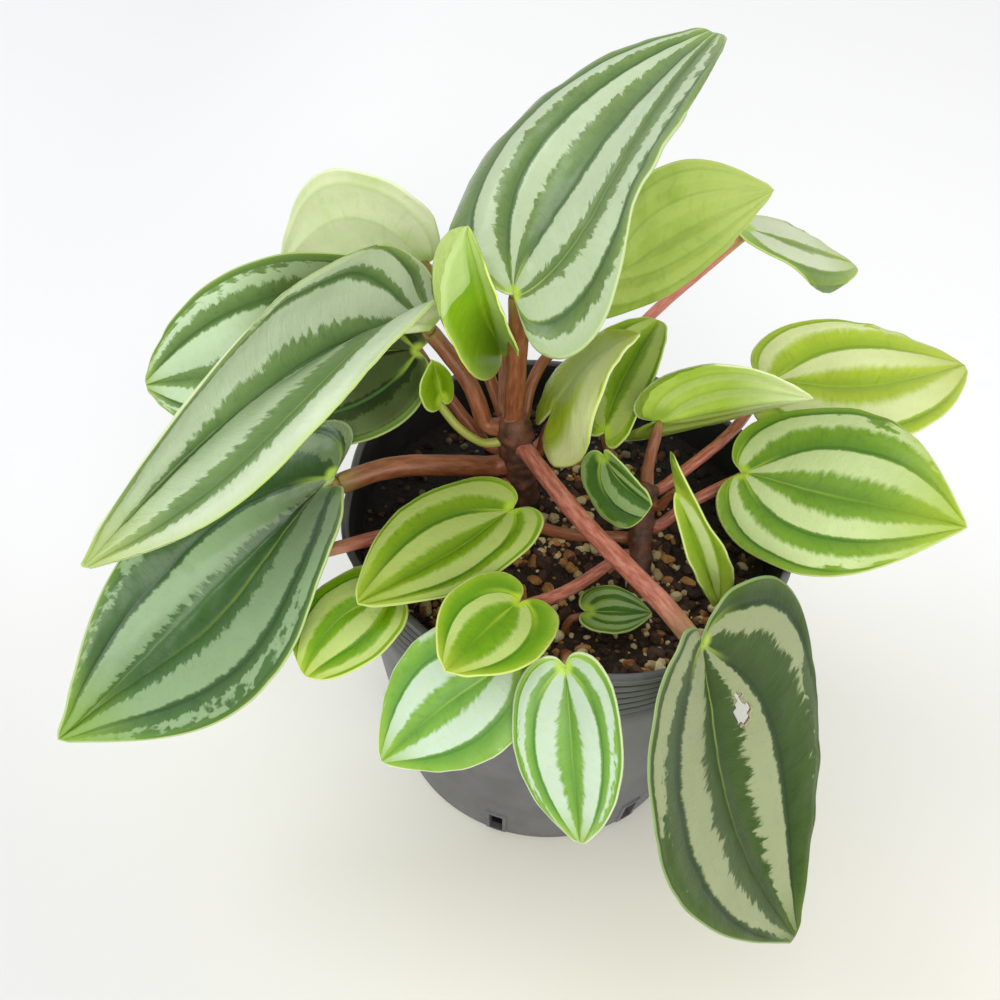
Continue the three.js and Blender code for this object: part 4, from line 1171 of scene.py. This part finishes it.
# ---------------------------------------------------------------- stalks and stems
def tube(line, radii, sides, grooved=0.0):
    """Points, faces and corner numbers of a round bar along a line, its ends rounded."""
    line = np.asarray(line)
    tangents = np.gradient(line, axis=0)
    tangents /= np.linalg.norm(tangents, axis=1, keepdims=True)
    side = np.cross(tangents[0], (0, 0, 1))
    if np.linalg.norm(side) < 0.2:
        side = np.cross(tangents[0], (0, 1, 0))
    along = np.concatenate([[0], np.cumsum(np.linalg.norm(np.diff(line, axis=0), axis=1))])
    angle = np.linspace(0, 2 * math.pi, sides, endpoint=False)
    off_groove = np.angle(np.exp(1j * (angle - math.pi / 2)))
    dip = 1 - grooved * np.exp(-((off_groove / GROOVE_WIDTH) ** 2))
    rings = []
    for tangent, centre, radius in zip(tangents, line, radii):
        side = side - tangent * (side @ tangent)
        side /= np.linalg.norm(side)
        up = np.cross(side, tangent)
        reach = radius * dip
        rings.append(centre + np.outer(reach * np.cos(angle), side) + np.outer(reach * np.sin(angle), up))
    caps, poles = [], []
    for end, sign in ((0, -1), (-1, 1)):
        out = sign * tangents[end] * radii[end] * CAP_REACH
        turns = [math.radians(turn) for turn in CAP_TURNS]
        caps.append([line[end] + out * math.sin(t) + (rings[end] - line[end]) * math.cos(t) for t in turns])
        poles.append(line[end] + out)
    rings = caps[0][::-1] + rings + caps[1]
    along = np.concatenate([[along[0]] * len(CAP_TURNS), along, [along[-1]] * len(CAP_TURNS)])
    points = np.concatenate(rings + [poles])
    first, last = len(points) - 2, len(points) - 1
    faces, run, share = [], [], []

    def corner(i, k):
        run.append((k / sides, along[i] * 100))
        share.append((along[i] / along[-1], 0))

    for i in range(len(rings) - 1):
        for k in range(sides):
            n = (k + 1) % sides
            faces.append([i * sides + k, i * sides + n, (i + 1) * sides + n, (i + 1) * sides + k])
            for a, b in ((i, k), (i, k + 1), (i + 1, k + 1), (i + 1, k)):
                corner(a, b)
    end = len(rings) - 1
    for k in range(sides):
        n = (k + 1) % sides
        faces += [[first, n, k], [last, end * sides + k, end * sides + n]]
        for a, b in ((0, k), (0, k + 1), (0, k), (end, k), (end, k), (end, k + 1)):
            corner(a, b)
    return points, faces, {"run": run, "share": share}


STEM_LINES = {name: stalk_line(name) for name in ("main_stem", "side_shoot")}


def rooted_end(start):
    """A point inside the stem or the soil that a stalk grows from."""
    best = None
    for centres, radius in STEM_LINES.values():
        fine = spline(centres, np.linspace(0, len(centres) - 1, 60))
        gap = np.linalg.norm(fine - start, axis=1)
        k = int(gap.argmin())
        if gap[k] < radius + ROOT_REACH and (best is None or gap[k] < best[0]):
            best = (gap[k], fine[k], radius)
    if best:
        away = start - best[1]
        return best[1] + away / np.linalg.norm(away) * best[2] * ROOT_INSIDE
    return np.array([start[0], start[1], (SOIL_LEVEL - ROOT_DEPTH) * MM])


def build_stalk(name, blade, look, slot):
    """A stalk from inside the stem or the soil to the notch of its blade, stout at the foot and narrow at the neck."""
    centres, radius = stalk_line(f"stalk_{name}")
    notch, inner = blade.at(0.0, 0.0), blade.at(0.03, 0.0)
    if np.linalg.norm(centres[0] - notch) < np.linalg.norm(centres[-1] - notch):
        centres = centres[::-1]
    root = rooted_end(centres[0])
    top = notch + (inner - notch) * 0.5 - blade.normal(0.0, 0.0) * (0.45 * radius)
    line = np.concatenate([[root], centres[:-1], [centres[-1] * 0.6 + top * 0.4], [top]])
    length = np.linalg.norm(np.diff(line, axis=0), axis=1).sum()
    count = max(14, int(length / STALK_STEP))
    fine = spline(line, np.linspace(0, len(line) - 1, count))
    t = np.linspace(0, 1, count)
    foot = 1 + FOOT_SWELL * np.exp(-((t * length / FOOT_LENGTH) ** 2))
    neck = 1 - NECK_THIN * smooth_step(t, 1 - NECK_LENGTH * radius / length, 1)
    wobble = np.array([1 + WOBBLE * noise.noise(Vector(p * WOBBLES_A_METRE)) for p in fine])
    points, faces, maps = tube(fine, radius * foot * neck * wobble, STALK_SIDES, STALK_GROOVE)
    piece(f"{name}_stalk", points, faces, [look], [f"stalk_{name}"], maps=maps)


def build_stem(name):
    """A woody stem: rings where old stalks grew, a bark of small lumps, its foot in the soil."""
    centres, radius = STEM_LINES[name]
    if centres[0][2] > centres[-1][2]:
        centres = centres[::-1]
    down = centres[0] - centres[1]
    foot = centres[0] + down / np.linalg.norm(down) * STEM_FOOT
    line = spline(np.concatenate([[foot], centres]), np.linspace(0, len(centres), STEM_ROWS))
    rings = RING_SWELL * np.exp(-((line[:, 2] / MM % RING_GAP - RING_GAP / 2) ** 2) / 0.5)
    points, faces, maps = tube(line, radius * (1 + rings), STEM_SIDES)
    rough = np.array([noise.fractal(Vector(p * BARK_LUMPS_A_METRE), 1.0, 2.0, 3) for p in points])
    nearest = np.array([line[np.linalg.norm(line - p, axis=1).argmin()] for p in points])
    out = points - nearest
    out /= np.maximum(np.linalg.norm(out, axis=1, keepdims=True), HAIR)
    points = points + out * (rough * BARK_LUMP)[:, None]
    piece(f"{name}_bark", points, faces, [OLD_STEM], [name], maps=maps)


# ---------------------------------------------------------------- pot
def outer_radius(z):
    return FOOT_RADIUS + (RIM_RADIUS - FOOT_RADIUS) * z / POT_HEIGHT


def pot_profile():
    """(radius, height, part) from the middle of the underside, up outside, over the lip, down inside."""
    rows = [(24.0, 0.5, "foot"), (25.2, 0.45, "foot"), (25.8, 0.0, "foot"), (33.2, 0.0, "foot"), (33.75, 0.18, "foot")]
    rows += [(outer_radius(z), z, "wall") for z in (0.7, 0.85)]
    rows += [(outer_radius(z), z, "frame") for z in (1.0, SLIT_FOOT, SLIT_HEAD, 9.3)]
    rows += [(outer_radius(z), z, "wall") for z in (9.55, *np.linspace(13, LOWEST_RIB - 1.2, 14))]
    for k in range(RIB_COUNT * RIB_ROWS + 1):
        z = LOWEST_RIB + k * RIB_PITCH / RIB_ROWS
        groove = 0.5 + 0.5 * math.cos(2 * math.pi * (k % RIB_ROWS) / RIB_ROWS)
        rows.append((outer_radius(z) - RIB_DEPTH * groove, z, "wall"))
    for k in range(LIP_ROWS + 1):
        t = math.radians(-50 + k * 230 / LIP_ROWS)
        rows.append((RIM_RADIUS - LIP / 2 + LIP * 0.6 * math.cos(t), RIBS_END + 0.65 + 0.75 * math.sin(t), "lip"))
    rows += [(outer_radius(z) - WALL - RIB_DEPTH, z, "inside") for z in (74.2, 72, 69, LOWEST_RIB)]
    rows += [(outer_radius(z) - WALL, z, "inside") for z in np.linspace(LOWEST_RIB - 1.5, 14, 12)]
    rows += [(outer_radius(z) - WALL, z, "inside") for z in (SLIT_HEAD, POT_FLOOR)]
    rows += [(20.0, POT_FLOOR, "inside")]
    return rows


def pot_columns():
    """Angles in degrees and, for each, how far it is from the middle of the nearest slit."""
    angles = []
    outer = SLIT_HALF + FRAME_SIDE
    ahead = [SLIT_HALF / 3, SLIT_HALF, outer, outer + FRAME_EDGE]
    step = 360 / SLIT_COUNT
    rest = np.linspace(ahead[-1], step - ahead[-1], 30)[1:-1]
    for slit in range(SLIT_COUNT):
        middle = SLIT_START + slit * step
        angles += [(middle + o, abs(o)) for o in [-o for o in ahead[::-1]] + ahead]
        angles += [(middle + o, min(o, step - o)) for o in rest]
    return angles


def build_pot():
    profile, columns = pot_profile(), pot_columns()
    count, rows = len(columns), len(profile)
    points = []
    for radius, z, part in profile:
        swell = CORNER_SWELL * float(smooth_step(z, POT_HEIGHT - CORNER_BAND, POT_HEIGHT))
        for angle, off in columns:
            a = math.radians(angle)
            proud = FRAME_PROUD if part == "frame" and off < SLIT_HALF + FRAME_SIDE + HAIR else 0.0
            r = radius * (1 - math.cos(CORNERS * a) * swell) + proud
            points.append((r * math.cos(a) * MM, r * math.sin(a) * MM, z * MM))
    underside, inside_floor = len(points), len(points) + 1
    points += [(0, 0, 0.5 * MM), (0, 0, POT_FLOOR * MM)]
    heights = [z for _, z, _ in profile]
    lip_row = max(range(rows), key=lambda i: heights[i])
    out_foot = next(i for i in range(lip_row) if heights[i] == SLIT_FOOT)
    in_head = next(i for i in range(lip_row, rows) if heights[i] == SLIT_HEAD)
    inside_from = lip_row + 5
    faces, marks = [], []

    def at(row, column):
        return row * count + column % count

    def in_slit(column):
        return columns[column % count][1] <= SLIT_HALF + HAIR

    for row in range(rows - 1):
        for column in range(count):
            if row in (out_foot, in_head) and in_slit(column) and in_slit(column + 1):
                continue
            faces.append([at(row, column), at(row, column + 1), at(row + 1, column + 1), at(row + 1, column)])
            # the faces inside the pot take the painted-shade copy of the plastic
            marks.append(int(row >= inside_from))
    for column in range(count):
        faces.append([underside, at(0, column + 1), at(0, column)])
        faces.append([inside_floor, at(rows - 1, column), at(rows - 1, column + 1)])
        marks += [0, 1]
    # the cut faces of the slits
    for column in range(count):
        before, here, there = (in_slit(column + k) for k in (-1, 0, 1))
        if here and there:
            n = column + 1
            faces.append([at(out_foot, column), at(out_foot, n), at(in_head + 1, n), at(in_head + 1, column)])
            faces.append([at(out_foot + 1, n), at(out_foot + 1, column), at(in_head, column), at(in_head, n)])
            marks += [0, 0]
        if here and there != before:
            side = [at(out_foot, column), at(in_head + 1, column), at(in_head, column), at(out_foot + 1, column)]
            faces.append(side if there else side[::-1])
            marks.append(0)
    piece("nursery_pot", points, faces, [POT_PLASTIC, POT_INSIDE_SHADE], ["pot"], marks, crease=38)


# ---------------------------------------------------------------- soil
def soil_shade(x, y):
    """How deep the painted shade on the soil is at a place in millimetres: 1 along the back and the right wall, 0 in
    front.
    """
    far = math.hypot(x, y)
    wall = float(smooth_step(far, 20, 30)) * float(smooth_step(y, -14, 0))
    behind = float(smooth_step(y, -4, 6)) * float(smooth_step(-x, -2, 8))
    return max(wall, behind)


def soil_height(x, y):
    """The top of the soil in millimetres, as the CAD soil has it."""
    waves = math.sin(x * 0.21 + 1) * math.cos(y * 0.17) + 0.6 * math.sin(x * 0.43 - y * 0.37)
    return SOIL_LEVEL + SOIL_BUMP * waves * float(smooth_step(36 - math.hypot(x, y), 0, 4))


def build_soil():
    """The soil: a lumpy top, and a side that shows through the slits."""
    edge = outer_radius(SOIL_LEVEL) - WALL - 0.5
    foot = outer_radius(SOIL_FOOT) - WALL - 0.9
    rings, sides = SOIL_RINGS, SOIL_SIDES
    points = [(0, 0, soil_height(0, 0) * MM)]
    for ring in range(1, rings + 1):
        for k in range(sides):
            a = 2 * math.pi * k / sides
            r = edge * ring / rings
            x, y = r * math.cos(a), r * math.sin(a)
            clod = noise.fractal(Vector((x * CLODS_A_MM, y * CLODS_A_MM, 3.1)), 0.9, 2.1, 4)
            points.append((x * MM, y * MM, (soil_height(x, y) + CLOD * clod) * MM))
    for z, r in ((SOIL_LEVEL - 6, edge - 0.9), (SIDE_SOIL, outer_radius(SIDE_SOIL) - WALL - 0.6), (SOIL_FOOT, foot)):
        for k in range(sides):
            a = 2 * math.pi * k / sides
            bite = r - 0.4 * (0.5 + 0.5 * noise.noise(Vector((math.cos(a) * 9, math.sin(a) * 9, z))))
            points.append((bite * math.cos(a) * MM, bite * math.sin(a) * MM, z * MM))
    points.append((0, 0, SOIL_FOOT * MM))
    faces = [[0, 1 + k, 1 + (k + 1) % sides] for k in range(sides)]
    for ring in range(rings + 2):
        a, b = 1 + ring * sides, 1 + (ring + 1) * sides
        faces += [[a + k, b + k, b + (k + 1) % sides, a + (k + 1) % sides] for k in range(sides)]
    last = 1 + (rings + 2) * sides
    faces += [[last + k, len(points) - 1, last + (k + 1) % sides] for k in range(sides)]
    # faces low on the side take the painted-light slit finish
    marks = [int(min(points[i][2] for i in f) < (SIDE_SOIL - 1) * MM) for f in faces]
    # each corner's share of the painted shade, carried in a UV map
    wall_shade = [(soil_shade(points[i][0] / MM, points[i][1] / MM), 0) for f in faces for i in f]
    piece("potting_soil", points, faces, [SOIL_AND_SHADE, SLIT_SOIL_LIT], ["soil"], marks, {"wall_shade": wall_shade})


def ball_of_crumb():
    """The points and faces of a small round crumb before it is broken."""
    gold = (1 + math.sqrt(5)) / 2
    corners = [(-1, gold, 0), (1, gold, 0), (-1, -gold, 0), (1, -gold, 0)]
    corners += [(0, -1, gold), (0, 1, gold), (0, -1, -gold), (0, 1, -gold)]
    corners += [(gold, 0, -1), (gold, 0, 1), (-gold, 0, -1), (-gold, 0, 1)]
    sides = [(0, 11, 5), (0, 5, 1), (0, 1, 7), (0, 7, 10), (0, 10, 11), (1, 5, 9), (5, 11, 4), (11, 10, 2)]
    sides += [(10, 7, 6), (7, 1, 8), (3, 9, 4), (3, 4, 2), (3, 2, 6), (3, 6, 8), (3, 8, 9), (4, 9, 5)]
    sides += [(2, 4, 11), (6, 2, 10), (8, 6, 7), (9, 8, 1)]
    points = [Vector(c).normalized() for c in corners]
    halves, faces = {}, []

    def half(a, b):
        key = (min(a, b), max(a, b))
        if key not in halves:
            halves[key] = len(points)
            points.append(((points[a] + points[b]) / 2).normalized())
        return halves[key]

    for a, b, c in sides:
        ab, bc, ca = half(a, b), half(b, c), half(c, a)
        faces += [(a, ab, ca), (b, bc, ab), (c, ca, bc), (ab, bc, ca)]
    return np.array(points), faces


def build_crumbs(name, look, count, small, large, flat, seed):
    """Loose crumbs lying on the soil, sized from small to large in millimetres."""
    dice = random.Random(seed)
    ball, ball_faces = ball_of_crumb()
    reach = outer_radius(SOIL_LEVEL) - WALL - 0.8
    points, faces, lump = [], [], []
    for _ in range(count):
        size = small + (large - small) * dice.random() ** 2.4
        far = (reach - size) * math.sqrt(dice.random())
        a = dice.random() * 2 * math.pi
        x, y = far * math.cos(a), far * math.sin(a)
        if math.hypot(x - BARE_SPOT[0], y - BARE_SPOT[1]) < BARE_RADIUS:
            size = min(size, BARE_SIZE)
        turn = Matrix.Rotation(dice.random() * 6.28, 3, (dice.random(), dice.random(), 1))
        stretch = (1 + 0.4 * dice.random(), 0.7 + 0.3 * dice.random(), flat + 0.2 * dice.random())
        shift = Vector((dice.random(), dice.random(), dice.random())) * 40
        wall_shade = soil_shade(x, y)
        # crumbs are left out in the painted shade, so that it reads dark
        if dice.random() < LEFT_OUT_IN_SHADE * wall_shade:
            continue
        z = soil_height(x, y) + size * 0.12
        base = len(points)
        for p in ball:
            rough = 1 + CRUMB_BREAK * noise.noise(Vector(p) * 1.3 + shift)
            q = turn @ Vector([p[k] * stretch[k] * rough * size / 2 for k in range(3)])
            points.append(((x + q.x) * MM, (y + q.y) * MM, (z + q.z) * MM))
        faces += [tuple(base + i for i in f) for f in ball_faces]
        lump.append((dice.random(), wall_shade))
    tone = np.repeat(np.array(lump), len(ball_faces) * 3, axis=0)
    piece(name, points, faces, [look], maps={"lump": tone}, crease=28)


# ================================================================ stage
def stage_finish():
    """A white table top with painted shade: a warm cream tint in front of the pot, a touch darker to the left, and
    darker again to the front left.
    """
    material, w, shader = new_finish("studio_floor")
    x, y = w.parts(place(w))[:2]
    side = w.sum("SUBTRACT", x, 0.02)
    ahead = w.sum("ADD", y, 0.12)
    away = w.sum("SQRT", w.sum("ADD", w.sum("MULTIPLY", side, side), w.sum("MULTIPLY", ahead, ahead)))
    grain = w.speckle(place(w), 9.0, 3.0, 0.6)
    # painted shade: a warm cream tint on the floor in front of the pot
    colour = w.mix(w.step(away, 0.0, 0.26), srgb(0.968, 0.958, 0.902), srgb(0.99, 0.99, 0.99))
    # painted shade: a little darker to the left
    colour = w.mix(w.step(w.sum("MULTIPLY", x, -1.0), 0.07, 0.20), colour, srgb(0.955, 0.955, 0.96))
    # painted shade: darker to the front left, where the lamps spill brightest
    shade_front_left = w.sum("SUBTRACT", w.sum("MULTIPLY", x, -0.7), w.sum("MULTIPLY", y, 0.7))
    colour = w.mix(w.step(shade_front_left, 0.05, 0.13), colour, srgb(0.91, 0.91, 0.90))
    w.feed(shader["Base Color"], colour)
    w.feed(shader["Roughness"], w.range(grain, 0.75, 0.85))
    return material


def soft_box(name, place, aim, size, power, tint):
    lamp = bpy.data.lights.new(name, "AREA")
    lamp.shape, lamp.size, lamp.energy, lamp.color = "SQUARE", size, power, tint
    obj = bpy.data.objects.new(name, lamp)
    obj.location = place
    obj.rotation_euler = (Vector(aim) - Vector(place)).to_track_quat("-Z", "Y").to_euler()
    bpy.context.collection.objects.link(obj)


# ================================================================ making the model
# The soil's loose crumbs: finish, how many, smallest and largest, how flat, and the seed of their places.
CRUMBS = {
    "bark_crumbs": (BARK_CRUMB, 1150, 0.9, 3.4, 0.55, 11),
    "clay_crumbs": (CLAY_CRUMB, 700, 0.8, 2.8, 0.75, 23),
    "pale_crumbs": (PALE_CRUMB, 640, 0.7, 2.7, 0.8, 37),
}

build_pot()
build_soil()
for name, numbers in CRUMBS.items():
    build_crumbs(name, *numbers)
build_stem("main_stem")
build_stem("side_shoot")
for number, leaf in enumerate(LEAVES):
    blade = build_leaf(leaf, number + 1)
    build_stalk(leaf, blade, *STALK_LOOKS.get(leaf, (RED_STALK, "stem")))

floor_mesh = bpy.data.meshes.new("studio_floor")
corners = [(x * FLOOR_HALF, y * FLOOR_HALF, 0) for x, y in ((-1, -1), (1, -1), (1, 1), (-1, 1))]
floor_mesh.from_pydata(corners, [], [(0, 1, 2, 3)])
floor_mesh.materials.append(stage_finish())
floor = bpy.data.objects.new("studio_floor", floor_mesh)
bpy.context.collection.objects.link(floor)

world = bpy.data.worlds.new("soft_studio")
world.use_nodes = True
sky = world.node_tree.nodes["Background"].inputs
sky["Color"].default_value, sky["Strength"].default_value = SKY_TINT, SKY_STRENGTH
bpy.context.scene.world = world

soft_box("window_light", (-0.80, 0.16, 1.0), (0, 0.0, 0.06), 0.55, 3.2, (0.92, 0.97, 1.0))
soft_box("front_fill", (0.16, -1.05, 0.70), (0, 0, 0.05), 0.9, 7.7, (1.0, 0.98, 0.94))

lens = bpy.data.cameras.new("bench_camera")
lens.lens, lens.sensor_width = LENS, SENSOR
lens.clip_start, lens.clip_end = NEAR_CLIP, FAR_CLIP
camera = bpy.data.objects.new("bench_camera", lens)
camera.location = CAMERA_PLACE
turn = Matrix.Rotation(math.radians(90 - CAMERA_PITCH), 4, "X") @ Matrix.Rotation(math.radians(CAMERA_ROLL), 4, "Z")
camera.rotation_euler = turn.to_euler()
bpy.context.collection.objects.link(camera)
bpy.context.scene.camera = camera
bpy.context.scene.view_settings.view_transform = "Standard"
bpy.context.scene.view_settings.look = "None"
